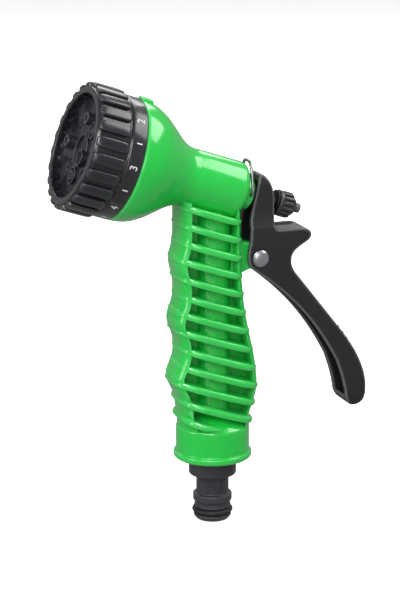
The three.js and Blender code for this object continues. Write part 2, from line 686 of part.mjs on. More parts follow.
/** Side outline of the lever about its rivet: arm, thumb shelf, waist and curved grip. */
function leverOutline() {
  const { low, high, rear } = armEdges();
  const top = PIVOT_DROP + ARM_TOP;
  const shape = new THREE.Shape();
  shape.moveTo(-4.2, 7.1);
  shape.lineTo(...low);
  shape.lineTo(...high);
  shape.quadraticCurveTo(high[0] + 0.5, top + 1.2, rear - 4, top);
  shape.quadraticCurveTo(rear, top - 3.4, rear, top - 11);
  shape.lineTo(rear, SHELF_HEIGHT + 2.2);
  shape.quadraticCurveTo(rear, SHELF_HEIGHT + 0.2, rear + 2.2, SHELF_HEIGHT + 0.1);
  shape.lineTo(SHELF_REACH - 3.6, SHELF_HEIGHT);
  shape.quadraticCurveTo(SHELF_REACH + 0.2, SHELF_HEIGHT - 0.2, SHELF_REACH, SHELF_HEIGHT - 3);
  shape.bezierCurveTo(WAIST_BACK + 4, 4.8, WAIST_BACK, 3.8, WAIST_BACK, -2.2);
  shape.quadraticCurveTo(WAIST_BACK, -5.4, WAIST_BACK + 3.2, -8.9);
  shape.lineTo(SQUEEZE_REACH - 12, 34.7 - SQUEEZE_DROP);
  shape.bezierCurveTo(
    SQUEEZE_REACH - 4.8, 25.4 - SQUEEZE_DROP, SQUEEZE_REACH, 16.6 - SQUEEZE_DROP,
    SQUEEZE_REACH, 8 - SQUEEZE_DROP);
  shape.quadraticCurveTo(SQUEEZE_REACH - 0.2, 0.4 - SQUEEZE_DROP, SQUEEZE_REACH - 6.2, -SQUEEZE_DROP);
  shape.quadraticCurveTo(SQUEEZE_REACH - 7, 7.8 - SQUEEZE_DROP, SQUEEZE_REACH - 13.8, 21.3 - SQUEEZE_DROP);
  shape.bezierCurveTo(SQUEEZE_REACH - 23, 38.2 - SQUEEZE_DROP, 16.5, -19.6, 2.6, -8.7);
  shape.lineTo(-3.5, -4.4);
  shape.quadraticCurveTo(-6.7, -2, -4.2, 7.1);
  return shape;
}

/** Hollow of the lever's channel about its rivet, open towards the grip. */
function leverHollow() {
  const rear = armEdges().rear - WALL;
  const top = PIVOT_DROP + ARM_TOP - WALL;
  const waist = WAIST_BACK - WALL;
  const shape = new THREE.Shape();
  shape.moveTo(-12, top);
  shape.lineTo(rear - 3.6, top);
  shape.quadraticCurveTo(rear, top - 3.6, rear, top - 9);
  shape.lineTo(rear, SHELF_HEIGHT - WALL);
  shape.lineTo(waist + 5, SHELF_HEIGHT - WALL - 0.2);
  shape.bezierCurveTo(waist + 2.4, 6.2, waist, 4.2, waist, -2.2);
  shape.quadraticCurveTo(waist, -6.2, waist + 3.6, -10.2);
  shape.lineTo(SQUEEZE_REACH - WALL - 11.7, 33.2 - SQUEEZE_DROP);
  shape.bezierCurveTo(
    SQUEEZE_REACH - WALL - 4.6, 24 - SQUEEZE_DROP, SQUEEZE_REACH - WALL, 15.8 - SQUEEZE_DROP,
    SQUEEZE_REACH - WALL, 8 - SQUEEZE_DROP);
  shape.quadraticCurveTo(
    SQUEEZE_REACH - WALL - 0.4, WALL + 0.6 - SQUEEZE_DROP, SQUEEZE_REACH - 6, WALL + 0.2 - SQUEEZE_DROP);
  shape.lineTo(SQUEEZE_REACH - 14.6, WALL + 0.2 - SQUEEZE_DROP);
  shape.lineTo(-8, -13);
  shape.lineTo(-12, -9);
  shape.closePath();
  return shape;
}

/** Front view of the lever about its rivet: wide at the grip, narrow at the arm, with rounded ends. */
function leverFrontView() {
  const [wide, arm] = [LEVER_HALF_WIDTH, ARM_HALF_WIDTH];
  const [bottom, top] = [-SQUEEZE_DROP - 1.6, PIVOT_DROP + ARM_TOP + 2.4];
  const [shoulder, neck] = [SHELF_HEIGHT + 1.8, SHELF_HEIGHT + 10.8];
  const shape = new THREE.Shape();
  shape.moveTo(-wide, bottom + 7);
  shape.quadraticCurveTo(-wide, bottom, 0, bottom);
  shape.quadraticCurveTo(wide, bottom, wide, bottom + 7);
  shape.lineTo(wide, shoulder);
  shape.quadraticCurveTo(arm, shoulder + 4, arm, neck);
  shape.lineTo(arm, top - 7.4);
  shape.quadraticCurveTo(arm, top, 0, top);
  shape.quadraticCurveTo(-arm, top, -arm, top - 7.4);
  shape.lineTo(-arm, neck);
  shape.quadraticCurveTo(-arm, shoulder + 4, -wide, shoulder);
  shape.closePath();
  return shape;
}

/** Slot across the lever's arm that the stem passes through and tilts in. */
function stemSlot() {
  const bore = rodX(STEM_RADIUS + 0.7, glandTail - 2, washerFront + 4);
  const spread = [-0.9, 0, 0.9].map((offset) => bore.translate([0, 0, offset]));
  return fromBarrel(join(spread));
}

function lever() {
  const reach = [-20, SQUEEZE_REACH + 10];
  const frontView = barAlongX(leverFrontView(), ...reach, 8);
  const outside = plateXZ(leverOutline(), 2 * LEVER_HALF_WIDTH, 8).intersect(frontView);
  const channel = plateXZ(leverHollow(), 2 * (LEVER_HALF_WIDTH - WALL), 8);
  const armChannel = frontView.scale([1, (ARM_HALF_WIDTH - WALL) / ARM_HALF_WIDTH, 1]);
  const belowArm = block(200, 40, 200, 0, 0, SHELF_HEIGHT + 1.8 - 100);
  const pinHole = rodY(holeFor(RIVET_RADIUS, 0.05), 40, 0, 0);
  const body = cut(outside, [channel.intersect(armChannel.add(belowArm)), pinHole]);
  return atPivot(body).subtract(stemSlot());
}

/** Pivot rivet with a domed head on each side. */
function pivotRivet() {
  const seat = LEVER_HALF_WIDTH + REST_GAP;
  const headRadius = RIVET_RADIUS + RIVET_HEAD_RIM;
  const half = [[RIVET_RADIUS, seat], [headRadius, seat], [headRadius, seat + 0.45],
    [headRadius - 0.7, seat + 0.95], [headRadius - 2, seat + 1.2], [0, seat + 1.3]];
  const mirrored = half.map(([radius, y]) => [radius, -y]).reverse();
  return toSolid(latheGeometry([...mirrored, ...half], SMALL_ROUND).translate(PIVOT_X, 0, pivotZ));
}

const knobWasher = () =>
  ringX(holeFor(STEM_RADIUS, 0.1), WASHER_RADIUS, washerFront, washerFront + WASHER_THICKNESS);

/** Fluted knob with a plain flange and a chamfered end. */
function flowKnob() {
  const flange = 1.7;
  const waist = knobSeat + flange;
  const outline = padOutline(KNOB_RADIUS - 0.55, KNOB_RADIUS + 0.1, KNOB_FLUTES, 0.5);
  const envelope = turnedX([
    [0, waist - 0.2], [KNOB_RADIUS + 1, waist - 0.2], [KNOB_RADIUS + 1, knobRear - 2.2],
    [KNOB_RADIUS - 1.6, knobRear], [0, knobRear],
  ], SMALL_ROUND);
  const flutes = barAlongX(outline, waist - 0.1, knobRear).intersect(envelope);
  const bore = rodX(holeFor(STEM_RADIUS), knobSeat - 1, knobRear + 1);
  return rodX(KNOB_RADIUS, knobSeat, waist).add(flutes).subtract(bore);
}

/** Wire bail with inward feet in the gland, parked against the rear of the barrel. */
function holdOpenBail() {
  const legY = GLAND_RADIUS + REST_GAP + BAIL_WIRE;
  const half = [
    [0, bailFootFloor + 0.65, BAIL_RISE], [0, legY - 0.5, BAIL_RISE], [0, legY, BAIL_RISE + 0.9],
    [0.35, 0.87 * legY, 0.45 * bailApex], [0.8, 0.58 * legY, 0.85 * bailApex],
    [0.95, 0.36 * legY, 0.97 * bailApex],
  ].map(([lean, y, z]) => new THREE.Vector3(bailFoot - BAIL_LEAN * lean, y, z));
  const mirrored = half.map((point) => point.clone().setY(-point.y)).reverse();
  const apex = new THREE.Vector3(bailFoot - BAIL_LEAN, 0, bailApex);
  const path = new THREE.CatmullRomCurve3([...half, apex, ...mirrored], false, 'centripetal');
  const section = new THREE.Shape().absarc(0, 0, BAIL_WIRE, 0, 2 * Math.PI);
  return toSolid(new THREE.ExtrudeGeometry(section, { extrudePath: path, steps: 36, curveSegments: 3 }));
}

// ---------------------------------------------------------------- hose tail

/** Quick-connect spigot: chamfered tip, seal groove, latch ridge, neck, collar and threaded shank. */
function hoseConnector() {
  const collarBottom = 19.9;
  const collarTop = FLANGE_BOTTOM - REST_GAP;
  const shankTop = SOCKET_TOP - WASHER_ROOM;
  const shankRadius = SOCKET_RADIUS - 0.15;
  const [grooveLow, grooveHigh] = [SEAL_HEIGHT - 1.55, SEAL_HEIGHT + 1.55];
  const grooveFloor = SPIGOT_TIP_RADIUS - SEAL_DEPTH;
  const outside = turnedZ([
    [0, 0], [SPIGOT_TIP_RADIUS - 1.3, 0], [SPIGOT_TIP_RADIUS, 1.5], [SPIGOT_TIP_RADIUS, grooveLow],
    [grooveFloor, grooveLow], [grooveFloor, grooveHigh], [SPIGOT_TIP_RADIUS - 0.35, grooveHigh],
    [SPIGOT_TIP_RADIUS - 0.35, 8.2], [SPIGOT_RIDGE_RADIUS, 8.4], [SPIGOT_RIDGE_RADIUS, 11.2],
    [SPIGOT_NECK_RADIUS, 11.5], [SPIGOT_NECK_RADIUS, collarBottom],
    [SPIGOT_COLLAR_RADIUS - 0.4, collarBottom], [SPIGOT_COLLAR_RADIUS, collarBottom + 0.5],
    [SPIGOT_COLLAR_RADIUS, collarTop], [shankRadius, collarTop], [shankRadius, shankTop], [0, shankTop],
  ]);
  return outside.subtract(rodZ(SPIGOT_BORE, -1, shankTop + 1));
}

function connectorSeal() {
  const wire = 1.1;
  const centre = SPIGOT_TIP_RADIUS - SEAL_DEPTH + FIT + wire;
  return toSolid(new THREE.TorusGeometry(centre, wire, 8, ROUND).translate(0, 0, SEAL_HEIGHT));
}

function connectorWasher() {
  const bottom = SOCKET_TOP - WASHER_ROOM + REST_GAP;
  return turnedZ(ringProfile(SPIGOT_BORE, SOCKET_RADIUS - 0.4, bottom, SOCKET_TOP - REST_GAP), SMALL_ROUND);
}

// ---------------------------------------------------------------- assembly

const inGunFrame = [
  meshOf('housing', housing(), finish.green),
  meshOf('lever', lever(), finish.lever),
  meshOf('pivot_rivet', pivotRivet(), finish.steel),
  meshOf('hose_connector', hoseConnector(), finish.tail),
  meshOf('connector_o_ring', connectorSeal(), finish.rubber),
  meshOf('connector_washer', connectorWasher(), finish.rubber),
];

const inBarrelFrame = [
  meshOf('distributor_plate', distributorPlate(), finish.inner),
  meshOf('outlet_seal', outletSeal(), finish.rubber),
  meshOf('detent_ball', detentBall(), finish.steel),
  meshOf('detent_spring', detentSpring(), finish.steel),
  meshOf('dial_ring', dialRing(), finish.dial),
  meshOf('nozzle_plate', nozzlePlate(), finish.dial),
  meshOf('dial_back_plate', dialBackPlate(), finish.dial),
  meshOf('jet_nozzle', jetNozzle(), finish.dial),
  meshOf('swirl_plug_mist', swirlPlug(Math.PI / 4), finish.inner),
  meshOf('swirl_plug_cone', swirlPlug(-Math.PI / 2), finish.inner),
  meshOf('dial_screw', dialScrew(), finish.steel),
  meshOf('dial_washer', dialWasher(), finish.steel),
  meshOf('valve_seat', valveSeat(), finish.brass),
  meshOf('valve_stem', valveStem(), finish.lever),
  meshOf('valve_plug', valvePlug(), finish.inner),
  meshOf('plug_seal', plugSeal(), finish.rubber),
  meshOf('plug_screw', plugScrew(), finish.brass),
  meshOf('return_spring', returnSpring(), finish.steel),
  meshOf('spring_washer', springWasher(), finish.brass),
  meshOf('stem_o_ring', stemSeal(), finish.rubber),
  meshOf('gland_o_ring', glandSeal(), finish.rubber),
  meshOf('rear_gland', rearGland(), finish.green),
  meshOf('knob_washer', knobWasher(), finish.steel),
  meshOf('flow_knob', flowKnob(), finish.lever),
  meshOf('hold_open_bail', holdOpenBail(), finish.steel),
];

const barrelGroup = new THREE.Group();
barrelGroup.position.z = AXIS_HEIGHT;
barrelGroup.rotation.y = TILT;
barrelGroup.add(...inBarrelFrame);

const sprayGun = new THREE.Group();
sprayGun.add(...inGunFrame, barrelGroup);

export default sprayGun;
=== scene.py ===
"""Looks of a pistol-grip hose spray gun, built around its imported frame.

Places come from the frame: the barrel's axis, the lever's rivet and the bail's feet from its joints, and
stations along an axis from the nodes. Sizes are in millimetres and become metres when a mesh is made.
"""

import json
import logging
import math
from dataclasses import dataclass, field
from enum import Enum
from typing import Any, Iterable, Sequence

import bmesh
import bpy
import numpy as np
from mathutils import Matrix, Vector


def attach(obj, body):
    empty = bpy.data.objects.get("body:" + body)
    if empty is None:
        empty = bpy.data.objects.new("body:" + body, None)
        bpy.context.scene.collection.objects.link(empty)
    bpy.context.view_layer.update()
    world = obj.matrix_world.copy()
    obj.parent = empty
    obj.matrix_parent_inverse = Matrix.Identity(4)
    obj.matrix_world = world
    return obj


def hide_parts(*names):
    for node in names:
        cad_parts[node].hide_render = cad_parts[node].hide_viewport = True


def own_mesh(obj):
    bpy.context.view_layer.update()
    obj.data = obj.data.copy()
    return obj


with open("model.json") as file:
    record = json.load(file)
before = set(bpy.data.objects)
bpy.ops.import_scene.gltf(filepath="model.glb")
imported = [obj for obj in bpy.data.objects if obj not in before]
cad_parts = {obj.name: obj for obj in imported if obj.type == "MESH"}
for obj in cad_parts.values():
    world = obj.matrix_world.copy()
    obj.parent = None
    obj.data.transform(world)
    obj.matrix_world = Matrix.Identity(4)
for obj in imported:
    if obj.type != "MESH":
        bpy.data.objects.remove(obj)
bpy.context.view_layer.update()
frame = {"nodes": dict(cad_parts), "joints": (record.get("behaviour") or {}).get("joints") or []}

LOG = logging.getLogger("spray_gun")

MM = 0.001
ON_AXIS = 1e-6
DOUBLES = 0.0005
SHARP_ANGLE = math.radians(38)
BEVEL_ANGLE = math.radians(40)
COAT_ROUGHNESS = 0.08
FLAT_POINTINESS = 0.505
STEPS_PER_COIL = 12
SEAM = 0.01
ACROSS = 20

Colour = tuple[float, float, float, float]
Pair = tuple[float, float]
Triple = tuple[float, float, float]


# ------------------------------------------------------------------ finishes


def srgb(red: int, green: int, blue: int) -> Colour:
    """Linear colour of an sRGB triple.

    Args:
        red: Red, 0 to 255.
        green: Green, 0 to 255.
        blue: Blue, 0 to 255.

    Returns:
        The colour as a shader reads it.
    """
    linear = [
        share / 12.92 if share <= 0.04045 else ((share + 0.055) / 1.055) ** 2.4
        for share in (red / 255, green / 255, blue / 255)
    ]
    return (*linear, 1.0)


@dataclass(frozen=True)
class Finish:
    """A surface finish: colour, gloss, grain and a painted highlight on convex edges."""

    name: str
    colour: Colour
    patch_colour: Colour
    roughness: float
    roughness_spread: float = 0.08
    metallic: float = 0.0
    specular: float = 0.5
    coat: float = 0.0
    subsurface: float = 0.0
    subsurface_depth: float = 0.002
    patch_scale: float = 45.0
    grain_scale: float = 2600.0
    grain_height: float = 0.00002
    # Painted highlight: colour, strength and pointiness at which convex edges are lightened.
    highlight_edge_colour: Colour = (1.0, 1.0, 1.0, 1.0)
    highlight_edge_share: float = 0.0
    highlight_edge_point: float = 0.56

    def material(self) -> bpy.types.Material:
        """Builds the finish once and gives it back afterwards.

        Returns:
            The material, with its nodes.
        """
        known = bpy.data.materials.get(self.name)
        if known:
            return known
        made = bpy.data.materials.new(self.name)
        made.use_nodes = True
        nodes, links = made.node_tree.nodes, made.node_tree.links
        shader = nodes["Principled BSDF"]
        shader.inputs["Metallic"].default_value = self.metallic
        shader.inputs["Specular IOR Level"].default_value = self.specular
        shader.inputs["Coat Weight"].default_value = self.coat
        shader.inputs["Coat Roughness"].default_value = COAT_ROUGHNESS
        shader.inputs["Subsurface Weight"].default_value = self.subsurface
        shader.inputs["Subsurface Scale"].default_value = self.subsurface_depth
        shader.inputs["Subsurface Radius"].default_value = self.colour[:3]
        place = nodes.new("ShaderNodeTexCoord").outputs["Object"]

        def noise(scale: float, detail: float) -> bpy.types.NodeSocket:
            """Noise over the piece, as a value.

            Args:
                scale: Waves per metre.
                detail: Octaves.

            Returns:
                The value's socket.
            """
            node = nodes.new("ShaderNodeTexNoise")
            node.inputs["Scale"].default_value = scale
            node.inputs["Detail"].default_value = detail
            links.new(place, node.inputs["Vector"])
            return node.outputs["Fac"]

        def mix(share: bpy.types.NodeSocket, first: Any, second: Colour) -> bpy.types.NodeSocket:
            """Colour between two.

            Args:
                share: Share of the second.
                first: Colour or the socket of one.
                second: Colour.

            Returns:
                The mixed colour's socket.
            """
            node = nodes.new("ShaderNodeMix")
            node.data_type = "RGBA"
            links.new(share, node.inputs["Factor"])
            if isinstance(first, tuple):
                node.inputs["A"].default_value = first
            else:
                links.new(first, node.inputs["A"])
            node.inputs["B"].default_value = second
            return node.outputs["Result"]

        def remap(value: bpy.types.NodeSocket, lows: Pair, highs: Pair) -> bpy.types.NodeSocket:
            """Value moved from one range to another.

            Args:
                value: The value's socket.
                lows: Lowest value in and out.
                highs: Highest value in and out.

            Returns:
                The new value's socket.
            """
            node = nodes.new("ShaderNodeMapRange")
            links.new(value, node.inputs["Value"])
            node.inputs["From Min"].default_value, node.inputs["To Min"].default_value = lows
            node.inputs["From Max"].default_value, node.inputs["To Max"].default_value = highs
            return node.outputs["Result"]

        colour = mix(remap(noise(self.patch_scale, 3), (0.35, 0), (0.65, 1)), self.colour, self.patch_colour)
        # Painted highlight: convex edges, found by pointiness, are lightened towards a highlight colour.
        if self.highlight_edge_share:
            pointed = nodes.new("ShaderNodeNewGeometry").outputs["Pointiness"]
            edge_highlight = remap(pointed, (FLAT_POINTINESS, 0), (self.highlight_edge_point, self.highlight_edge_share))
            colour = mix(edge_highlight, colour, self.highlight_edge_colour)
        links.new(colour, shader.inputs["Base Color"])
        low, high = self.roughness - self.roughness_spread / 2, self.roughness + self.roughness_spread / 2
        links.new(remap(noise(self.patch_scale * 6, 4), (0.3, low), (0.7, high)), shader.inputs["Roughness"])
        bump = nodes.new("ShaderNodeBump")
        bump.inputs["Distance"].default_value = self.grain_height
        links.new(noise(self.grain_scale, 2), bump.inputs["Height"])
        links.new(bump.outputs["Normal"], shader.inputs["Normal"])
        return made


# The edge colours below are painted highlights laid on convex edges.
GLOSSY_GREEN = Finish(
    "glossy_green_plastic", srgb(28, 188, 66), srgb(36, 196, 76), 0.17, 0.05, coat=0.35, subsurface=0.3,
    subsurface_depth=0.006, patch_scale=30, grain_scale=700, grain_height=0.000012,
    highlight_edge_colour=srgb(120, 232, 150), highlight_edge_share=0.35)
DIAL_BLACK = Finish(
    "glossy_black_plastic", srgb(19, 18, 22), srgb(26, 25, 29), 0.24, 0.1, coat=0.2,
    grain_scale=900, grain_height=0.00002, highlight_edge_colour=srgb(90, 88, 96), highlight_edge_share=0.35)
FACE_BLACK = Finish(
    "speckled_black_plastic", srgb(17, 16, 20), srgb(40, 38, 47), 0.3, 0.18,
    patch_scale=420, grain_scale=1100, grain_height=0.00016, highlight_edge_colour=srgb(96, 94, 104), highlight_edge_share=0.4)
LEVER_BLACK = Finish(
    "satin_black_plastic", srgb(20, 20, 21), srgb(26, 26, 27), 0.46, 0.1,
    grain_scale=3200, grain_height=0.00003, highlight_edge_colour=srgb(112, 112, 114), highlight_edge_share=0.6,
    highlight_edge_point=0.53)
KNOB_BLACK = Finish(
    "knob_black_plastic", srgb(24, 23, 23), srgb(36, 34, 34), 0.33, 0.12,
    grain_scale=1800, grain_height=0.00002, highlight_edge_colour=srgb(104, 100, 100), highlight_edge_share=0.4)
TAIL_GREY = Finish(
    "charcoal_plastic", srgb(40, 40, 45), srgb(50, 49, 55), 0.38, 0.12,
    grain_scale=1500, grain_height=0.00003, highlight_edge_colour=srgb(96, 96, 102), highlight_edge_share=0.3)
NATURAL_PLASTIC = Finish(
    "natural_plastic", srgb(214, 214, 206), srgb(202, 202, 192), 0.42, 0.12, subsurface=0.1)
RUBBER = Finish(
    "black_rubber", srgb(17, 17, 18), srgb(26, 26, 27), 0.62, 0.16, grain_scale=2200, grain_height=0.00004)
ZINC_STEEL = Finish(
    "zinc_steel", srgb(190, 190, 197), srgb(176, 176, 183), 0.32, 0.05, metallic=1.0,
    patch_scale=90, grain_scale=900, grain_height=0.000002)
BLACK_STEEL = Finish(
    "blackened_steel", srgb(52, 52, 54), srgb(38, 38, 40), 0.4, 0.16, metallic=1.0,
    patch_scale=260, grain_scale=1900, grain_height=0.000006)
BRIGHT_WIRE = Finish(
    "bright_wire", srgb(150, 158, 150), srgb(132, 140, 133), 0.34, 0.1, metallic=1.0,
    patch_scale=240, grain_scale=1500, grain_height=0.00001)
BRASS = Finish(
    "brass", srgb(200, 162, 74), srgb(178, 138, 60), 0.32, 0.14, metallic=1.0, patch_scale=200)
WHITE_PRINT = Finish(
    "white_print", srgb(232, 232, 234), srgb(206, 206, 210), 0.5, 0.1, patch_scale=700)


# ------------------------------------------------------------------ places


@dataclass(frozen=True)
class Axis:
    """A straight axis in the gun's frame, in millimetres, with its own up direction."""

    origin: Vector
    along: Vector
    up: Vector

    @classmethod
    def of_joint(cls, name: str, up: Vector) -> "Axis":
        """Axis of a joint.

        Args:
            name: The joint's name.
            up: Rough up direction.

        Returns:
            The axis through the joint.
        """
        joint = next(j for j in frame["joints"] if j["name"] == name)
        along = Vector(joint["axis"]).normalized()
        return cls(Vector(joint["pos_m"]) / MM, along, (up - along * up.dot(along)).normalized())

    @property
    def place(self) -> Matrix:
        """Place of the axis's own frame, which has X up and Z along the axis.

        Returns:
            Matrix from that frame to the gun's frame.
        """
        side = self.along.cross(self.up)
        turn = Matrix((self.up, side, self.along)).transposed().to_4x4()
        return Matrix.Translation(self.origin) @ turn

    def span(self, node: str) -> Pair:
        """Lowest and highest station of a node along the axis.

        Args:
            node: A CAD node's name.

        Returns:
            Both stations, in millimetres.
        """
        points = np.array([v.co for v in frame["nodes"][node].data.vertices]) / MM
        stations = (points - np.array(self.origin)) @ np.array(self.along)
        return float(stations.min()), float(stations.max())

    def reach(self, node: str) -> float:
        """Largest distance of a node from the axis.

        Args:
            node: A CAD node's name.

        Returns:
            The distance, in millimetres.
        """
        points = np.array([v.co for v in frame["nodes"][node].data.vertices]) / MM - np.array(self.origin)
        beside = points - np.outer(points @ np.array(self.along), np.array(self.along))
        return float(np.linalg.norm(beside, axis=1).max())


UP = Vector((0, 0, 1))
BARREL = Axis.of_joint("dial_spin", UP)
RIVET = Axis.of_joint("trigger_squeeze", UP)
BAIL_FEET = Axis.of_joint("bail_swing", UP)
TAIL = Axis(Vector((0, 0, 0)), UP, Vector((1, 0, 0)))
TILT = math.asin(-BARREL.along.z)
SLOPE = math.tan(TILT)

BARREL_RADIUS = 12.2
DIAL_RADIUS = 25.2
GLAND_RADIUS = 6.6
STEM_RADIUS = 2
BAIL_FOOT_FLOOR = 4.2
FLANGE_DROP = 116.4
FLANGE_BOTTOM = BARREL.origin.z - FLANGE_DROP


def in_barrel(along: float, side: float, above: float) -> Vector:
    """Point of the barrel's frame, in the gun's frame.

    Args:
        along: Station along the barrel's axis.
        side: Distance along Y.
        above: Height over the axis.

    Returns:
        The point, in millimetres.
    """
    return BARREL.origin + BARREL.along * along + Vector((0, side, 0)) + BARREL.up * above


def side_view(origin: Vector = RIVET.origin) -> Matrix:
    """Place of an outline that is seen from the side.

    Args:
        origin: Point that the outline's X and Z start from.

    Returns:
        Matrix from the outline's frame to the gun's frame.
    """
    turn = Matrix(((1, 0, 0), (0, 0, -1), (0, 1, 0))).to_4x4()
    return Matrix.Translation(origin) @ turn


def front_view() -> Matrix:
    """Place of an outline that is seen from the front, in Y and Z from the rivet.

    Returns:
        Matrix from the outline's frame to the gun's frame.
    """
    turn = Matrix(((0, 0, 1), (1, 0, 0), (0, 1, 0))).to_4x4()
    return Matrix.Translation(RIVET.origin) @ turn


# ------------------------------------------------------------------ meshes


class Join(Enum):
    """Ways to combine two solids."""

    ADD = "UNION"
    CUT = "DIFFERENCE"
    KEEP = "INTERSECT"


def tidy(mesh: bpy.types.Mesh) -> None:
    """Merges doubles, turns faces outwards and marks the sharp edges.

    Args:
        mesh: The mesh, changed in place.
    """
    work = bmesh.new()
    work.from_mesh(mesh)
    bmesh.ops.remove_doubles(work, verts=work.verts, dist=DOUBLES * MM)
    bmesh.ops.recalc_face_normals(work, faces=work.faces)
    for face in work.faces:
        face.smooth = True
    for edge in work.edges:
        edge.smooth = not edge.is_manifold or edge.calc_face_angle(0) < SHARP_ANGLE
    work.to_mesh(mesh)
    work.free()


def linked(name: str, data: Any) -> bpy.types.Object:
    """New object in the scene.

    Args:
        name: Its name.
        data: Its mesh or curve.

    Returns:
        The object, at the origin.
    """
    made = bpy.data.objects.new(name, data)
    bpy.context.scene.collection.objects.link(made)
    return made


def solid(name: str, points: Iterable[Sequence[float]], faces: list[list[int]],
          place: Matrix = Matrix()) -> bpy.types.Object:
    """Closed solid from points and faces.

    Args:
        name: Its name.
        points: Points, in millimetres.
        faces: Faces, as lists of indices.
        place: Matrix from the points' frame to the gun's frame.

    Returns:
        The solid as an object.
    """
    mesh = bpy.data.meshes.new(name)
    mesh.from_pydata([(place @ Vector(p)) * MM for p in points], [], faces)
    tidy(mesh)
    return linked(name, mesh)


def flatten(piece: bpy.types.Object) -> bpy.types.Object:
    """Puts the modifiers into the mesh.

    Args:
        piece: A mesh object.

    Returns:
        The same object.
    """
    graph = bpy.context.evaluated_depsgraph_get()
    mesh = bpy.data.meshes.new_from_object(piece.evaluated_get(graph))
    piece.modifiers.clear()
    piece.data = mesh
    return piece


def combine(piece: bpy.types.Object, way: Join, *tools: bpy.types.Object) -> bpy.types.Object:
    """Combines solids and removes the tools.

    Args:
        piece: The solid to change.
        way: Join, cut or keep.
        tools: The other solids.

    Returns:
        The changed solid.
    """
    for tool in tools:
        modifier = piece.modifiers.new(way.name, "BOOLEAN")
        modifier.operation = way.value
        modifier.solver = "MANIFOLD"
        modifier.object = tool
        flatten(piece)
        bpy.data.objects.remove(tool)
    tidy(piece.data)
    return piece


def rounded(corners: Sequence[Pair], radius: float, closed: bool = False, steps: int = 4) -> list[Pair]:
    """Polyline with its corners rounded.

    Args:
        corners: The corners.
        radius: Distance from a corner at which its curve starts.
        closed: Whether the last corner joins the first.
        steps: Pieces in each curve.

    Returns:
        The points of the rounded line.
    """
    result: list[Pair] = []
    for index, corner in enumerate(corners):
        if not closed and index in (0, len(corners) - 1):
            result.append(corner)
            continue
        here = Vector(corner)
        to_last = Vector(corners[index - 1]) - here
        to_next = Vector(corners[(index + 1) % len(corners)]) - here
        start = here + to_last.normalized() * min(radius, 0.45 * to_last.length)
        end = here + to_next.normalized() * min(radius, 0.45 * to_next.length)
        for step in range(steps + 1):
            t = step / steps
            result.append(tuple(start * (1 - t) ** 2 + here * (2 * t * (1 - t)) + end * t * t))
    return result


def lathe(name: str, profile: Sequence[Pair], axis: Axis, segments: int = 96,
          offset: Pair = (0, 0)) -> bpy.types.Object:
    """Turned solid.

    Args:
        name: Its name.
        profile: Stations and radii, from axis to axis, or a closed loop off the axis.
        axis: The axis it is turned about.
        segments: Sides.
        offset: The turning axis's place beside the axis: up and sideways.

    Returns:
        The solid.
    """
    points: list[Triple] = []
    rings: list[list[int]] = []
    for station, radius in profile:
        count = 1 if radius < ON_AXIS else segments
        rings.append(list(range(len(points), len(points) + count)))
        for step in range(count):
            angle = 2 * math.pi * step / segments
            shift = (offset[0] + radius * math.cos(angle), offset[1] + radius * math.sin(angle))
            points.append((*shift, station))
    pairs = list(zip(rings, rings[1:]))
    if profile[0][1] > ON_AXIS:
        pairs.append((rings[-1], rings[0]))
    faces = []
    for low, high in pairs:
        for step in range(segments):
            after = (step + 1) % segments
            quad = [low[step % len(low)], low[after % len(low)]]
            quad += [high[after % len(high)], high[step % len(high)]]
            corners = list(dict.fromkeys(quad))
            if len(corners) > 2:
                faces.append(corners)
    return solid(name, points, faces, axis.place)


def rod(name: str, radius: float, low: float, high: float, axis: Axis, offset: Pair = (0, 0),
        segments: int = 96) -> bpy.types.Object:
    """Plain round rod along an axis, used to cut bores.

    Args:
        name: Its name.
        radius: Its radius.
        low: Its first station.
        high: Its last station.
        axis: The axis.
        offset: Its place beside the axis.
        segments: Sides.

    Returns:
        The rod.
    """
    return lathe(name, [(low, 0), (low, radius), (high, radius), (high, 0)], axis, segments, offset)


def loft(name: str, rings: Sequence[Sequence[Triple]]) -> bpy.types.Object:
    """Solid through closed rings of points with flat ends.

    Args:
        name: Its name.
        rings: Rings with equal counts of points.

    Returns:
        The solid.
    """
    count = len(rings[0])
    points = [point for ring in rings for point in ring]
    faces = [list(range(count)), list(range(len(points) - count, len(points)))]
    for level in range(len(rings) - 1):
        for step in range(count):
            first, second = level * count + step, level * count + (step + 1) % count
            faces.append([first, second, second + count, first + count])
    return solid(name, points, faces)


def prism(name: str, outline: Sequence[Pair], low: float, high: float, place: Matrix) -> bpy.types.Object:
    """Flat outline given a thickness.

    Args:
        name: Its name.
        outline: Points in the plane, in order.
        low: First height of the thickness.
        high: Last height of the thickness.
        place: Matrix from the outline's frame to the gun's frame.

    Returns:
        The solid.
    """
    count = len(outline)
    points = [(*p, low) for p in outline] + [(*p, high) for p in outline]
    faces = [list(range(count)), list(range(count, 2 * count))]
    faces += [[i, (i + 1) % count, (i + 1) % count + count, i + count] for i in range(count)]
    return solid(name, points, faces, place)


class Outline:
    """Closed outline drawn with lines and curves."""

    def __init__(self, *start: float) -> None:
        """Starts the outline at a point."""
        self.points: list[Pair] = [tuple(start)]

    def line(self, *end: float) -> "Outline":
        """Adds a straight line to a point."""
        self.points.append(tuple(end))
        return self

    def curve(self, *controls: Pair, steps: int = 14) -> "Outline":
        """Adds a Bezier curve.

        Args:
            controls: One or two control points, then the end.
            steps: Pieces in the curve.

        Returns:
            The outline.
        """
        hull = [Vector(self.points[-1]), *(Vector(c) for c in controls)]
        order = len(hull) - 1
        for step in range(1, steps + 1):
            t = step / steps
            point = Vector((0, 0))
            for index, corner in enumerate(hull):
                point += corner * math.comb(order, index) * t ** index * (1 - t) ** (order - index)
            self.points.append(tuple(point))
        return self


def squared(angle: float, power: float) -> Pair:
    """Cosine and sine of an angle, drawn out towards a square.

    Args:
        angle: The angle.
        power: Power under 1; the smaller it is, the squarer the shape.

    Returns:
        Both values.
    """
    return tuple(math.copysign(abs(part) ** power, part) for part in (math.cos(angle), math.sin(angle)))


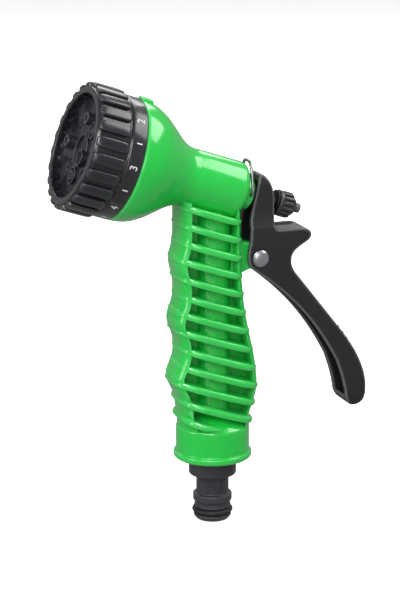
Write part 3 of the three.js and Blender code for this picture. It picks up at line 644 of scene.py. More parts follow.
def hump(at: float, centre: float, height: float, spread: float) -> float:
    """Height of a bell curve.

    Args:
        at: Where it is read.
        centre: Where it is highest.
        height: Its greatest height.
        spread: Its spread.

    Returns:
        The height.
    """
    return height * math.exp(-(((at - centre) / spread) ** 2))


def soften(piece: bpy.types.Object, width: float, segments: int = 2) -> bpy.types.Object:
    """Rounds the sharp edges of a simple solid.

    Args:
        piece: The solid.
        width: Width of the rounding.
        segments: Its steps.

    Returns:
        The same object.
    """
    modifier = piece.modifiers.new("round", "BEVEL")
    modifier.width = width * MM
    modifier.segments = segments
    modifier.limit_method = "ANGLE"
    modifier.angle_limit = BEVEL_ANGLE
    modifier.use_clamp_overlap = True
    flatten(piece)
    tidy(piece.data)
    return piece


def remould(piece: bpy.types.Object, voxel: float, passes: int) -> bpy.types.Object:
    """Gives a solid an even skin with soft edges, as a moulding has.

    Args:
        piece: The solid.
        voxel: Size of the skin's squares.
        passes: Smoothing passes.

    Returns:
        The same object.
    """
    skin = piece.modifiers.new("skin", "REMESH")
    skin.mode = "VOXEL"
    skin.voxel_size = voxel * MM
    smooth = piece.modifiers.new("smooth", "SMOOTH")
    smooth.factor = 0.5
    smooth.iterations = passes
    return flatten(piece)


# ------------------------------------------------------------------ geometry nodes


class Tree:
    """A geometry node tree under construction, in metres."""

    def __init__(self, name: str) -> None:
        """Starts an empty tree with a geometry input and output.

        Args:
            name: The tree's name.
        """
        self.group = bpy.data.node_groups.new(name, "GeometryNodeTree")
        for way in ("INPUT", "OUTPUT"):
            self.group.interface.new_socket("Geometry", in_out=way, socket_type="NodeSocketGeometry")
        self.source = self.group.nodes.new("NodeGroupInput")

    def takes(self, name: str, kind: str = "Float") -> bpy.types.NodeSocket:
        """Adds a named input.

        Args:
            name: The input's name.
            kind: Socket kind, such as Float, Int, Object or Material.

        Returns:
            The input's socket inside the tree.
        """
        self.group.interface.new_socket(name, in_out="INPUT", socket_type=f"NodeSocket{kind}")
        return self.source.outputs[name]

    def add(self, kind: str, settings: dict[str, Any] | None = None, **values: Any) -> bpy.types.Node:
        """Adds a node.

        Args:
            kind: The node's type, without its prefix when it is a geometry node.
            settings: Properties to set on it.
            values: Values or sockets for its inputs, with _ for a space.

        Returns:
            The node.
        """
        prefix = "" if kind.startswith(("ShaderNode", "FunctionNode")) else "GeometryNode"
        node = self.group.nodes.new(prefix + kind)
        for key, value in (settings or {}).items():
            setattr(node, key, value)
        for key, value in values.items():
            self.feed(node.inputs[key.replace("_", " ")], value)
        return node

    def feed(self, target: bpy.types.NodeSocket, value: Any) -> None:
        """Links a socket or sets a value on an input.

        Args:
            target: The input.
            value: The value, or the socket to link from.
        """
        if isinstance(value, bpy.types.NodeSocket):
            self.group.links.new(value, target)
        else:
            target.default_value = value

    def maths(self, operation: str, *values: Any) -> bpy.types.NodeSocket:
        """Adds a Math node.

        Args:
            operation: Its operation.
            values: Values or sockets.

        Returns:
            Its result.
        """
        node = self.add("ShaderNodeMath", {"operation": operation})
        for target, value in zip(node.inputs, values):
            self.feed(target, value)
        return node.outputs[0]

    def vector(self, x: Any, y: Any, z: Any) -> bpy.types.NodeSocket:
        """Vector of three values or sockets."""
        return self.add("ShaderNodeCombineXYZ", X=x, Y=y, Z=z).outputs[0]

    def bump(self, place: Any, centre: float, depth: float, spread: float) -> bpy.types.NodeSocket:
        """Bell curve of a value.

        Args:
            place: The value's socket, in metres.
            centre: Where the curve is highest, in millimetres.
            depth: Its height, in millimetres.
            spread: Its spread, in millimetres.

        Returns:
            The curve's value, in metres.
        """
        off = self.maths("DIVIDE", self.maths("SUBTRACT", place, centre * MM), spread * MM)
        power = self.maths("MULTIPLY", self.maths("MULTIPLY", off, off), -1.0)
        return self.maths("MULTIPLY", self.maths("EXPONENT", power), depth * MM)

    def rounded_block(self, half: Sequence[Any], squareness: Any, segments: int = 20) -> bpy.types.NodeSocket:
        """Block with rounded edges, made from a sphere.

        Args:
            half: Half sizes, as values or sockets.
            squareness: Power under 1; the smaller it is, the squarer the block.
            segments: Sides of the sphere.

        Returns:
            The block's geometry.
        """
        ball = self.add("MeshUVSphere", Segments=segments, Rings=segments // 2 + 1, Radius=1.0)
        parts = self.add("ShaderNodeSeparateXYZ", Vector=self.add("InputPosition").outputs[0])
        moved = []
        for index, size in enumerate(half):
            part = parts.outputs[index]
            raised = self.maths("POWER", self.maths("ABSOLUTE", part), squareness)
            signed = self.maths("MULTIPLY", raised, self.maths("SIGN", part))
            moved.append(self.maths("MULTIPLY", signed, size))
        placed = self.add("SetPosition", Geometry=ball.outputs["Mesh"], Position=self.vector(*moved))
        return placed.outputs["Geometry"]

    def ends(self, geometry: bpy.types.NodeSocket) -> "Tree":
        """Realizes the instances, sets the material and closes the tree.

        Args:
            geometry: What the tree made.

        Returns:
            The finished tree.
        """
        real = self.add("RealizeInstances", Geometry=geometry)
        dressed = self.add("SetMaterial", Geometry=real.outputs[0], Material=self.takes("Finish", "Material"))
        output = self.group.nodes.new("NodeGroupOutput")
        self.group.links.new(dressed.outputs[0], output.inputs[0])
        return self

    def grow(self, name: str, finish: Finish, place: Matrix = Matrix(), source: Any = None,
             **values: Any) -> bpy.types.Object:
        """Runs the tree and keeps its result as a plain mesh.

        Args:
            name: The piece's name.
            finish: Its finish.
            place: Matrix from the tree's frame to the gun's frame, in millimetres.
            source: Mesh or curve that the tree starts from, if any.
            values: The tree's inputs by name, with _ for a space; lengths are in metres.

        Returns:
            The piece.
        """
        holder = linked(name + "_source", source or bpy.data.meshes.new(name))
        modifier = holder.modifiers.new("tree", "NODES")
        modifier.node_group = self.group
        values["Finish"] = finish.material()
        for item in self.group.interface.items_tree:
            key = item.name.replace(" ", "_")
            if item.in_out == "INPUT" and key in values:
                modifier[item.identifier] = values[key]
        graph = bpy.context.evaluated_depsgraph_get()
        mesh = bpy.data.meshes.new_from_object(holder.evaluated_get(graph), depsgraph=graph)
        holder.modifiers.clear()
        bpy.data.objects.remove(holder)
        metres = place.copy()
        metres.translation *= MM
        mesh.transform(metres)
        tidy(mesh)
        return linked(name, mesh)


def ring_of_blocks() -> Tree:
    """Tree for equal rounded blocks on a circle about Z.

    Returns:
        The tree. Its inputs are Count, Radius, Start, Station, Deep, Wide, Long and Squareness.
    """
    tree = Tree("ring_of_blocks")
    count, radius = tree.takes("Count", "Int"), tree.takes("Radius")
    start, station = tree.takes("Start"), tree.takes("Station")
    half = [tree.takes(name) for name in ("Deep", "Wide", "Long")]
    block = tree.rounded_block(half, tree.takes("Squareness"))
    circle = tree.add("MeshCircle", Vertices=count, Radius=radius)
    turn = tree.maths("DIVIDE", tree.maths("MULTIPLY", tree.add("InputIndex").outputs[0], 2 * math.pi), count)
    placed = tree.add("InstanceOnPoints", Points=circle.outputs[0], Instance=block,
                      Rotation=tree.vector(0.0, 0.0, turn))
    moved = tree.add("Transform", Geometry=placed.outputs[0], Translation=tree.vector(0.0, 0.0, station),
                     Rotation=tree.vector(0.0, 0.0, start))
    return tree.ends(moved.outputs[0])


def wire_on_path() -> Tree:
    """Tree for round wire along a curve.

    Returns:
        The tree. Its inputs are the curve, Radius and Step.
    """
    tree = Tree("wire_on_path")
    radius, step = tree.takes("Radius"), tree.takes("Step")
    path = tree.add("ResampleCurve", {"mode": "LENGTH"}, Curve=tree.source.outputs[0], Length=step)
    section = tree.add("CurvePrimitiveCircle", Resolution=16, Radius=radius)
    wire = tree.add("CurveToMesh", Curve=path.outputs[0], Profile_Curve=section.outputs[0], Fill_Caps=True)
    return tree.ends(wire.outputs[0])


def dots_on_path(columns: int) -> Tree:
    """Tree for rows of low round dots along a curve.

    Args:
        columns: How many dots a row has, side by side.

    Returns:
        The tree. Its inputs are the curve, Pitch, Spacing, Radius and Height.
    """
    tree = Tree("dots_on_path")
    pitch, spacing = tree.takes("Pitch"), tree.takes("Spacing")
    radius, height = tree.takes("Radius"), tree.takes("Height")
    dot = tree.rounded_block((radius, radius, height), 0.85, 12)
    points = tree.add("ResampleCurve", {"mode": "LENGTH"}, Curve=tree.source.outputs[0], Length=pitch)
    tangent = tree.add("InputTangent").outputs[0]
    facing = tree.add("FunctionNodeAlignEulerToVector", {"axis": "X"}, Vector=tangent)
    placed = tree.add("InstanceOnPoints", Points=points.outputs[0], Instance=dot,
                      Rotation=facing.outputs[0])
    joined = tree.add("JoinGeometry")
    for column in range(columns):
        shift = tree.maths("MULTIPLY", spacing, column - (columns - 1) / 2)
        moved = tree.add("Transform", Geometry=placed.outputs[0], Translation=tree.vector(0.0, shift, 0.0))
        tree.group.links.new(moved.outputs[0], joined.inputs[0])
    return tree.ends(joined.outputs[0])


def path_curve(name: str, points: Sequence[Vector], smooth: bool = True) -> bpy.types.Curve:
    """Curve through points.

    Args:
        name: Its name.
        points: Points, in millimetres.
        smooth: Whether the curve bends smoothly through them.

    Returns:
        The curve.
    """
    curve = bpy.data.curves.new(name, "CURVE")
    curve.dimensions = "3D"
    curve.resolution_u = 16
    spline = curve.splines.new("BEZIER" if smooth else "POLY")
    knots = spline.bezier_points if smooth else spline.points
    knots.add(len(points) - 1)
    for knot, point in zip(knots, points):
        if smooth:
            knot.co = point * MM
            knot.handle_left_type = knot.handle_right_type = "AUTO"
        else:
            knot.co = (*(point * MM), 1.0)
    return curve


RING_OF_BLOCKS = ring_of_blocks()
WIRE_ON_PATH = wire_on_path()


# ------------------------------------------------------------------ dressing


def dress(piece: bpy.types.Object, finish: Finish, body: str, slot: str, *nodes: str) -> bpy.types.Object:
    """Gives a piece its finish and body, and hides the CAD nodes it stands for.

    Args:
        piece: The piece.
        finish: Its finish.
        body: The body it rides on.
        slot: The record's material slot; not used.
        nodes: The CAD nodes it stands for.

    Returns:
        The same object.
    """
    piece.data.materials.clear()
    piece.data.materials.append(finish.material())
    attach(piece, body)
    if nodes:
        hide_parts(*nodes)
    LOG.info("%s: %d faces on %s in %s", piece.name, len(piece.data.polygons), body, finish.name)
    return piece


# ------------------------------------------------------------------ housing


@dataclass
class GripHousing:
    """Barrel, flared bell, ribbed grip, foot and lug: one green moulding, with the gland nut behind it."""

    barrel_radius: float = BARREL_RADIUS
    barrel_nose: float = -12.2
    barrel_tail: float = 12.2
    corner: float = 3.5
    flare_power: float = 1.27
    wall: float = 2.2
    seat_bore: float = 6.1
    seat_depth: float = 8.3
    chamber_radius: float = 8.6
    gland_bore: float = 6.5
    gland_plug: float = 6.4
    grip_half_width: float = 12.4
    grip_front: float = -16.3
    grip_rear: float = 10.6
    grip_low: float = 30.3
    swell: Triple = (58, 7.9, 30)
    ridges: tuple[Triple, ...] = ((112.6, 2, 6.2), (87.9, 2.9, 6.2), (63.5, 3.4, 6.2))
    squareness: float = 3.4
    rib_pitch: float = 7.51
    rib_thickness: float = 2.7
    rib_inset: float = 0.25
    rib_edge: float = 0.55
    template_half: float = 15
    strip_insets: Triple = (0.45, 0.55, 0.14)
    rib_drop: float = 12.1
    strip: float = 3.1
    web: float = 2.4
    tube_radius: float = 7.2
    tube_bore: float = 4.6
    foot_radius: float = 15.4
    foot_top: float = 43
    foot_blend: float = 18
    socket: Pair = (8, 40.3)
    rivet_bore: float = 2.5
    lug_half_width: float = 5.1
    mouth_radius: float = DIAL_RADIUS
    mouth_gap: float = 0.3
    mouth: float = field(init=False)

    def __post_init__(self) -> None:
        """Reads the bell's mouth from the frame."""
        self.mouth = BARREL.span("dial_ring")[1] + self.mouth_gap

    def bell_radius(self, share: float) -> float:
        """Radius of the bell at a share of its length, from the mouth to the barrel."""
        blend = (1 + math.cos(math.pi * share ** self.flare_power)) / 2
        return self.barrel_radius + (self.mouth_radius - self.barrel_radius) * blend

    def bell_line(self, inset: float, steps: int = 40) -> list[Pair]:
        """Stations and radii of the bell, from its mouth to the barrel.

        Args:
            inset: Distance inside the outer skin.
            steps: Pieces in the line.

        Returns:
            The line.
        """
        length = self.barrel_nose - self.mouth
        shares = [step / steps for step in range(steps + 1)]
        return [(self.mouth + length * share, self.bell_radius(share) - inset) for share in shares]

    def barrel(self) -> bpy.types.Object:
        """Solid bell and barrel with a rounded mouth edge, a crease and a rounded rear corner.

        Returns:
            The solid.
        """
        tail, radius, nose, lip = self.barrel_tail, self.barrel_radius, self.barrel_nose, self.mouth_radius
        crease = [(nose + 0.5, radius - 0.12), (nose + 1.3, radius + 0.02)]
        corner = []
        for step in range(13):
            angle = math.pi / 2 * step / 12
            station = tail - self.corner * (1 - math.sin(angle))
            corner.append((station, radius - self.corner * (1 - math.cos(angle))))
        mouth = [(self.mouth, 0), (self.mouth, lip - 0.5), (self.mouth + 0.15, lip - 0.15)]
        line = self.bell_line(0)[1:]
        return lathe("grip_housing", [*mouth, *line, *crease, *corner, (tail, 0)], BARREL, 128)

    def hollows(self) -> list[bpy.types.Object]:
        """Bell hollow, mouth, seat, chamber and gland bores, water way, socket and rivet hole.

        Returns:
            The solids to cut away.
        """
        seat_rear = BARREL.span("valve_seat")[1] - 0.2
        gland_nose = BARREL.span("rear_gland")[0]
        ledge = BARREL.span("distributor_plate")[1] + 0.3
        bell_end = seat_rear - 5.3
        inside = [(s, r) for s, r in self.bell_line(self.wall) if ledge < s < bell_end]
        start, end = inside[0], inside[-1]
        bell = [(ledge - 0.1, 0), (ledge - 0.1, start[1] - 0.4), *inside, (end[0], 0)]
        mouth_bore = BARREL.reach("distributor_plate") + 0.25
        return [
            lathe("bell_hollow", bell, BARREL),
            rod("mouth_bore", mouth_bore, self.mouth - 1, ledge, BARREL),
            rod("seat_bore", self.seat_bore, seat_rear - self.seat_depth, seat_rear, BARREL),
            rod("chamber", self.chamber_radius, seat_rear - SEAM, gland_nose, BARREL),
            rod("gland_bore", self.gland_bore, gland_nose - SEAM, self.barrel_tail + 1, BARREL),
            rod("water_way", self.tube_bore, FLANGE_BOTTOM - 1, BARREL.origin.z, TAIL),
            rod("socket_bore", self.socket[0], FLANGE_BOTTOM - 1, self.socket[1], TAIL),
            rod("rivet_hole", self.rivet_bore, -ACROSS, ACROSS, RIVET),
        ]

    def pointer(self) -> bpy.types.Object:
        """Raised tab on top of the bell that points at the chosen pattern.

        Returns:
            The tab.
        """
        length, half_width, top = 5.0, 3.0, self.mouth_radius + 0.9
        corners = [(top - 3, -half_width), (top, -half_width), (top, half_width), (top - 3, half_width)]
        tab = prism("pointer", corners, self.mouth, self.mouth + length, BARREL.place)
        return soften(tab, 0.5, 3)

    def span_at(self, z: float) -> Pair:
        """Front and rear limits of the grip at a height."""
        ridges = sum(hump(z, *ridge) for ridge in self.ridges)
        return self.grip_front - ridges, self.grip_rear + hump(z, *self.swell)

    def foot_share(self, z: float) -> float:
        """Share of the grip's own section at a height; 0 is the round foot."""
        t = min(1.0, max(0.0, (z - self.foot_top + 1) / self.foot_blend))
        return t * t * (3 - 2 * t)

    def body(self, name: str, front_in: float, rear_in: float, side_in: float,
             squareness: float) -> bpy.types.Object:
        """Closed body of the grip, moved in at its faces.

        Args:
            name: Its name.
            front_in: Inset of the front.
            rear_in: Inset of the rear.
            side_in: Inset of the sides.
            squareness: Power of its section.

        Returns:
            The body.
        """
        rings = []
        low, high, levels, around = self.grip_low, BARREL.origin.z - 5, 72, 72
        for level in range(levels + 1):
            z = low + (high - low) * level / levels
            share = self.foot_share(z)
            front, rear = self.span_at(z)
            front = -self.foot_radius + (front + self.foot_radius) * share + front_in
            rear = self.foot_radius + (rear - self.foot_radius) * share - rear_in
            half = self.foot_radius + (self.grip_half_width - self.foot_radius) * share - side_in
            power = 2 / (2 + (squareness - 2) * share)
            ring = []
            for step in range(around):
                across, beside = squared(2 * math.pi * step / around, power)
                ring.append(((front + rear) / 2 + (rear - front) / 2 * across, half * beside, z))
            rings.append(ring)
        return loft(name, rings)

    def rib_template(self) -> bpy.types.Object:
        """Flat rib with a rounded rim, which every rib on the grip is a stretched copy of.

        Returns:
            The rib.
        """
        half, edge, power, around = self.rib_thickness / 2, self.rib_edge, 2 / self.squareness, 96
        sections = [(-half, 1.0), (-half * 0.8, 0.32), (-half * 0.45, 0.06), (0, 0),
                    (half * 0.45, 0.06), (half * 0.8, 0.32), (half, 1.0)]
        rings = []
        for height, inset in sections:
            long, wide = self.template_half - inset * edge, self.grip_half_width - inset * edge
            turns = [squared(2 * math.pi * step / around, power) for step in range(around)]
            rings.append([(long * across, wide * beside, height) for across, beside in turns])
        return loft("rib_template", rings)

    def foot_blender(self, tree: Tree, height: Any, **ends: float) -> bpy.types.NodeSocket:
        """Smooth step over the heights where the foot grows into the grip, for a node tree.

        Args:
            tree: The tree.
            height: Socket of the height, in metres.
            ends: Values below and above the step, as To_Min and To_Max.

        Returns:
            The step's value.
        """
        low = self.foot_top - 1
        return tree.add("ShaderNodeMapRange", {"interpolation_type": "SMOOTHSTEP"}, Value=height,
                        From_Min=low * MM, From_Max=(low + self.foot_blend) * MM, **ends).outputs[0]

    def rib_tree(self) -> Tree:
        """Tree for slanted ribs down the grip, each as long and wide as the grip is at its height.

        Returns:
            The tree. Its inputs are Count, Pitch, Top and Rib.
        """
        tree = Tree("slanted_ribs")
        count, pitch, top = tree.takes("Count", "Int"), tree.takes("Pitch"), tree.takes("Top")
        rib = tree.add("ObjectInfo", Object=tree.takes("Rib", "Object")).outputs["Geometry"]
        line = tree.add("MeshLine", Count=count, Start_Location=tree.vector(0.0, 0.0, top),
                        Offset=tree.vector(0.0, 0.0, tree.maths("MULTIPLY", pitch, -1.0)))
        height = tree.add("ShaderNodeSeparateXYZ", Vector=tree.add("InputPosition").outputs[0]).outputs[2]
        ends = []
        for limit, sign, curves in ((self.grip_front, -1, self.ridges), (self.grip_rear, 1, (self.swell,))):
            there = tree.maths("SUBTRACT", height, limit * SLOPE * MM)
            total: Any = limit * MM
            for curve in curves:
                total = tree.maths("ADD", total, tree.maths("MULTIPLY", tree.bump(there, *curve), sign))
            foot = sign * self.foot_radius * MM
            beyond_foot = tree.maths("SUBTRACT", total, foot)
            grown = tree.maths("MULTIPLY", beyond_foot, self.foot_blender(tree, there))
            ends.append(tree.maths("ADD", grown, foot - sign * self.rib_inset * MM))
        middle = tree.maths("MULTIPLY", tree.maths("ADD", *ends), 0.5)
        per_template = 0.5 / math.cos(TILT) / (self.template_half * MM)
        length = tree.maths("MULTIPLY", tree.maths("SUBTRACT", ends[1], ends[0]), per_template)
        width = self.foot_blender(tree, height, To_Min=self.foot_radius / self.grip_half_width, To_Max=1.0)
        drop = tree.maths("MULTIPLY", middle, -SLOPE)
        stored = tree.add("StoreNamedAttribute", {"data_type": "FLOAT_VECTOR"}, Geometry=line.outputs[0],
                          Name="rib_scale", Value=tree.vector(length, width, 1.0))
        moved = tree.add("SetPosition", Geometry=stored.outputs[0], Offset=tree.vector(middle, 0.0, drop))
        scale = tree.add("InputNamedAttribute", {"data_type": "FLOAT_VECTOR"}, Name="rib_scale")
        placed = tree.add("InstanceOnPoints", Points=moved.outputs[0], Instance=rib,
                          Rotation=(0.0, TILT, 0.0), Scale=scale.outputs[0])
        return tree.ends(placed.outputs[0])

    def ribs(self) -> bpy.types.Object:
        """Slanted ribs, cut away around the foot and behind the lowest, short one.

        Returns:
            The ribs.
        """
        template = self.rib_template()
        first = BARREL.origin.z - self.rib_drop
        number = math.ceil((first - self.foot_top) / self.rib_pitch) + 1
        ribs = self.rib_tree().grow("ribs", GLOSSY_GREEN, Rib=template, Count=number,
                                    Pitch=self.rib_pitch * MM, Top=first * MM)
        bpy.data.objects.remove(template)
        low, high, edge, outside = FLANGE_BOTTOM, self.foot_top + 0.2, self.foot_radius + 0.03, 30
        room = lathe("foot_room", [(low, edge), (low, outside), (high, outside), (high, edge)], TAIL)
        last = first - (number - 1.5) * self.rib_pitch
        corners = [(-2, last + 2 * SLOPE), (40, last - 40 * SLOPE), (40, low - 10), (-2, low - 10)]
        behind = prism("behind_short_rib", corners, -outside, outside, side_view(Vector()))
        return combine(ribs, Join.CUT, room, behind)

    def spines(self) -> bpy.types.Object:
        """Front and rear strips and the middle web that tie the ribs together.

        Returns:
            All three as one solid.
        """
        front, rear, side = self.strip_insets
        skin = self.body("skin", front, rear, side, self.squareness)
        middle = self.body("middle", front + self.strip, rear + self.strip, -8, 9)
        half = self.web / 2
        corners = [(-30, -half), (30, -half), (30, half), (-30, half)]
        web = prism("web", corners, 35, 155, Matrix())
        core = self.body("core", front + 0.4, rear + 0.4, side, self.squareness)
        combine(web, Join.KEEP, core)
        combine(skin, Join.CUT, middle)
        return combine(skin, Join.ADD, web)

    def foot(self) -> bpy.types.Object:
        """Round foot with its flange and the sloped shoulder up to the water way.

        Returns:
            The foot.
        """
        radius, top, low = self.foot_radius, self.foot_top, FLANGE_BOTTOM
        profile = rounded([
            (low, 0), (low, radius - 0.4), (low + 0.9, radius + 1), (low + 3, radius + 1),
            (low + 3.3, radius), (top - 1.5, radius), (top + 0.6, radius - 2.2),
            (top + 4.6, self.tube_radius), (top + 4.6, 0)], 0.7)
        return lathe("foot", profile, TAIL, 128)

    def lug(self) -> bpy.types.Object:
        """Lug on the back of the grip that carries the rivet.

        Returns:
            The lug.
        """
        root, eye = self.grip_rear - 4.6 - RIVET.origin.x, 4.8
        corners = [(root, 8.5), (root + 5, 7), (-3.4, 6.2), (eye / 2, eye - 0.4), (eye, 0), (eye / 2, -4.2),
                   (-3.2, 0.2 - eye), (root + 4, -6.5), (root, -8.5)]
        half = self.lug_half_width
        lug = prism("lug", rounded(corners, 1.8, closed=True), -half, half, side_view())
        return soften(lug, 0.4)

    def gland(self) -> None:
        """Builds and dresses the gland nut, with its stem bore, seal seats and the bail's two foot holes."""
        nose, tail = BARREL.span("rear_gland")
        plug, radius, bore = self.gland_plug, GLAND_RADIUS, STEM_RADIUS + 0.06
        shoulder = self.barrel_tail + 0.3
        groove, groove_end, groove_floor = nose + 3.2, nose + 3.2 + 1.8, plug - 1.6
        seat = nose + 2.6
        outline = [
            (nose, 4), (nose, plug), (groove, plug), (groove, groove_floor), (groove_end, groove_floor),
            (groove_end, plug), (shoulder, plug), (shoulder, radius), (tail, radius), (tail, bore),
            (seat, bore), (seat, 4)]
        gland = lathe("gland_nut", rounded(outline, 0.35, closed=True, steps=3), BARREL)
        feet = Axis(BAIL_FEET.origin, BAIL_FEET.along, UP)
        for low, high in ((BAIL_FOOT_FLOOR, ACROSS), (-ACROSS, -BAIL_FOOT_FLOOR)):
            combine(gland, Join.CUT, rod("foot_hole", 0.78, low, high, feet, segments=24))
        dress(gland, GLOSSY_GREEN, "housing_body", "green_plastic", "rear_gland")

    def build(self) -> None:
        """Builds and dresses the housing and the gland nut."""
        behind = rod("behind", self.barrel_radius + 1, self.barrel_tail - 0.3, self.barrel_tail + 20, BARREL)
        grip = combine(self.spines(), Join.ADD, self.ribs())
        combine(grip, Join.CUT, behind)
        tube = rod("tube", self.tube_radius, 32, BARREL.origin.z, TAIL)
        housing = combine(self.barrel(), Join.ADD, self.pointer(), grip, tube, self.foot(), self.lug())
        combine(housing, Join.CUT, *self.hollows())
        dress(housing, GLOSSY_GREEN, "housing_body", "green_plastic", "housing")
        self.gland()


# ------------------------------------------------------------------ dial


class Port(Enum):
    """Shapes of the spray ports on the dial's face."""

    PLAIN = "small hole in a flat cup"
    BOSS = "raised boss with a hole"
    RINGED = "boss with a second ring inside"
    SLOT = "low disc with a crescent slot"
    TUBE = "standing tube"


@dataclass
class PatternDial:
    """Turning dial: knurled ring, label band, face with its ports and the jet nozzle."""

    radius: float = DIAL_RADIUS
    pad_count: int = 24
    pad_height: float = 1.2
    pad_start: float = 1.4
    pad_length: float = 12
    pad_half_width: float = 2.2
    recess: float = 4
    face_thickness: float = 2.2
    bore: float = 21.6
    ledge: float = 20.4
    pattern_radius: float = 11.8
    tooth: Triple = (1.0, 1.35, 1.15)
    tooth_station: float = 2.1
    middle_radius: float = 7
    jet_radius: float = 2.6
    back_plate_depth: float = 3.6
    number_size: float = 4.554
    tick: Triple = (0.06, 0.28, 1.2)
    ports: tuple[tuple[Port, float, float], ...] = (
        (Port.PLAIN, 45, 11.8), (Port.BOSS, 90, 11.8), (Port.SLOT, 135, 11.8), (Port.PLAIN, 180, 12.6),
        (Port.TUBE, 208, 7.4), (Port.PLAIN, 228, 13.4), (Port.RINGED, 270, 11.8), (Port.PLAIN, 315, 11.8))
    front: float = field(init=False)
    rear: float = field(init=False)
    face: float = field(init=False)
    face_rear: float = field(init=False)
    pad_rear: float = field(init=False)
    band: float = field(init=False)
    back_plate: float = field(init=False)

    def __post_init__(self) -> None:
        """Reads the dial's stations from the frame."""
        self.front, self.rear = BARREL.span("dial_ring")
        self.face = self.front + self.recess
        self.face_rear = self.face + self.face_thickness
        self.pad_rear = self.front + self.pad_start + self.pad_length
        self.band = self.pad_rear + 1.7
        self.back_plate = BARREL.span("dial_back_plate")[1] - self.back_plate_depth

    def ring(self) -> None:
        """Knurled outer ring with its toothed front recess."""
        radius, bore, ledge, front, rear = self.radius, self.bore, self.ledge, self.front, self.rear
        step, plate, seat = self.pad_rear, self.back_plate, self.face_rear + 0.3
        outline = [
            (front, bore), (front, radius - 1.1), (front + self.pad_start, radius - 0.25),
            (step, radius - 0.25), (step + 0.5, radius - 0.55), (step + 1.2, radius - 0.55),
            (self.band, radius), (rear, radius), (rear, bore), (plate, bore), (plate, ledge), (seat, ledge),
            (seat, bore)]
        ring = lathe("knurled_ring", rounded(outline, 0.4, closed=True, steps=3), BARREL, 192)
        pads = RING_OF_BLOCKS.grow(
            "pads", DIAL_BLACK, BARREL.place, Count=self.pad_count, Radius=(radius - 0.1) * MM, Start=0.0,
            Station=(self.pad_rear - self.pad_length / 2 - 0.35) * MM, Deep=(self.pad_height + 0.15) * MM,
            Wide=self.pad_half_width * MM, Long=(self.pad_length / 2 + 0.7) * MM, Squareness=0.36)
        combine(ring, Join.ADD, pads)
        deep, wide, long = self.tooth
        notches = RING_OF_BLOCKS.grow(
            "notches", DIAL_BLACK, BARREL.place, Count=self.pad_count, Radius=(self.bore + 0.3) * MM,
            Start=math.pi / self.pad_count, Station=(front + self.tooth_station) * MM, Deep=deep * MM,
            Wide=wide * MM, Long=long * MM, Squareness=0.22)
        combine(ring, Join.CUT, notches)
        dress(ring, DIAL_BLACK, "dial", "dial_plastic", "dial_ring")

    def port_offset(self, angle: float, radius: float) -> Pair:
        """Place of a port beside the axis, up and sideways, for an angle from the far side over the top."""
        turn = math.radians(angle)
        return radius * math.sin(turn), -radius * math.cos(turn)

    def add_port(self, plate: bpy.types.Object, port: Port, angle: float, radius: float) -> None:
        """Adds one spray port to the face.

        Args:
            plate: The face.
            port: Its shape.
            angle: Its angle from the far side over the top, in degrees.
            radius: Its distance from the axis.
        """
        place, face = self.port_offset(angle, radius), self.face

        def disc(size: float, height: float, floor: float = -1.0) -> bpy.types.Object:
            """Round disc or cutter on the port's place.

            Args:
                size: Its radius.
                height: Its top over the face.
                floor: Its bottom over the face.

            Returns:
                The disc.
            """
            top, bottom = face - height, face - floor
            profile = rounded([(top, 0), (top, size), (bottom, size), (bottom, 0)], 0.22, steps=3)
            return lathe("disc", profile, BARREL, 48, place)

        if port is Port.PLAIN:
            combine(plate, Join.CUT, disc(2.3, 1, -0.5), disc(1.0, 1, -1.9))
        elif port is Port.BOSS:
            combine(plate, Join.ADD, disc(2.5, 2.2))
            combine(plate, Join.CUT, disc(1.5, 3, 0.4), disc(0.8, 2, -1.9))
        elif port is Port.RINGED:
            combine(plate, Join.ADD, disc(3.7, 1.1))
            combine(plate, Join.CUT, disc(3.1, 2, 0))
            combine(plate, Join.ADD, disc(2.1, 1.3))
            combine(plate, Join.CUT, disc(1.3, 2, -0.5))
        elif port is Port.SLOT:
            combine(plate, Join.ADD, disc(3.5, 1.2))
            combine(plate, Join.CUT, disc(2.9, 2, 0.5))
            combine(plate, Join.ADD, disc(1.3, 0.9))
        else:
            combine(plate, Join.ADD, disc(3.4, 2.6))
            combine(plate, Join.CUT, disc(2.75, 4, -0.4), disc(0.9, 2, -1.9))

    def face_plate(self) -> None:
        """Front plate with a port for each pattern around a raised middle."""
        edge = self.bore - 0.25
        outline = [(self.face, 0), (self.face, edge), (self.face_rear, edge), (self.face_rear, 0)]
        plate = lathe("pattern_face", rounded(outline, 0.3, steps=3), BARREL, 128)
        face, middle = self.face, self.middle_radius
        rim = rounded([(face - 0.9, middle - 0.9), (face - 0.9, middle), (face + 0.5, middle),
                       (face + 0.5, middle - 0.9)], 0.3, closed=True, steps=3)
        combine(plate, Join.ADD, lathe("rim", rim, BARREL, 96, self.port_offset(225, 1.6)))
        for port, angle, radius in self.ports:
            self.add_port(plate, port, angle, radius)
        jet_place = self.port_offset(0, self.pattern_radius)
        jet_seat = rod("jet_seat", self.jet_radius + 0.06, face - 2, face + 0.9, BARREL, jet_place, 48)
        combine(plate, Join.CUT, jet_seat)
        dress(plate, FACE_BLACK, "dial", "dial_plastic", "nozzle_plate")

    def jet(self) -> None:
        """Tall jet nozzle on the far side of the face."""
        low, high = BARREL.span("jet_nozzle")
        radius, bore = self.jet_radius, 1.2
        outline = [(low, bore), (low, radius - 0.3), (low + 0.3, radius), (high, radius), (high, bore)]
        jet = lathe("jet_tube", rounded(outline, 0.25, closed=True, steps=3), BARREL, 48,
                    self.port_offset(0, self.pattern_radius))
        dress(jet, DIAL_BLACK, "dial", "dial_plastic", "jet_nozzle")

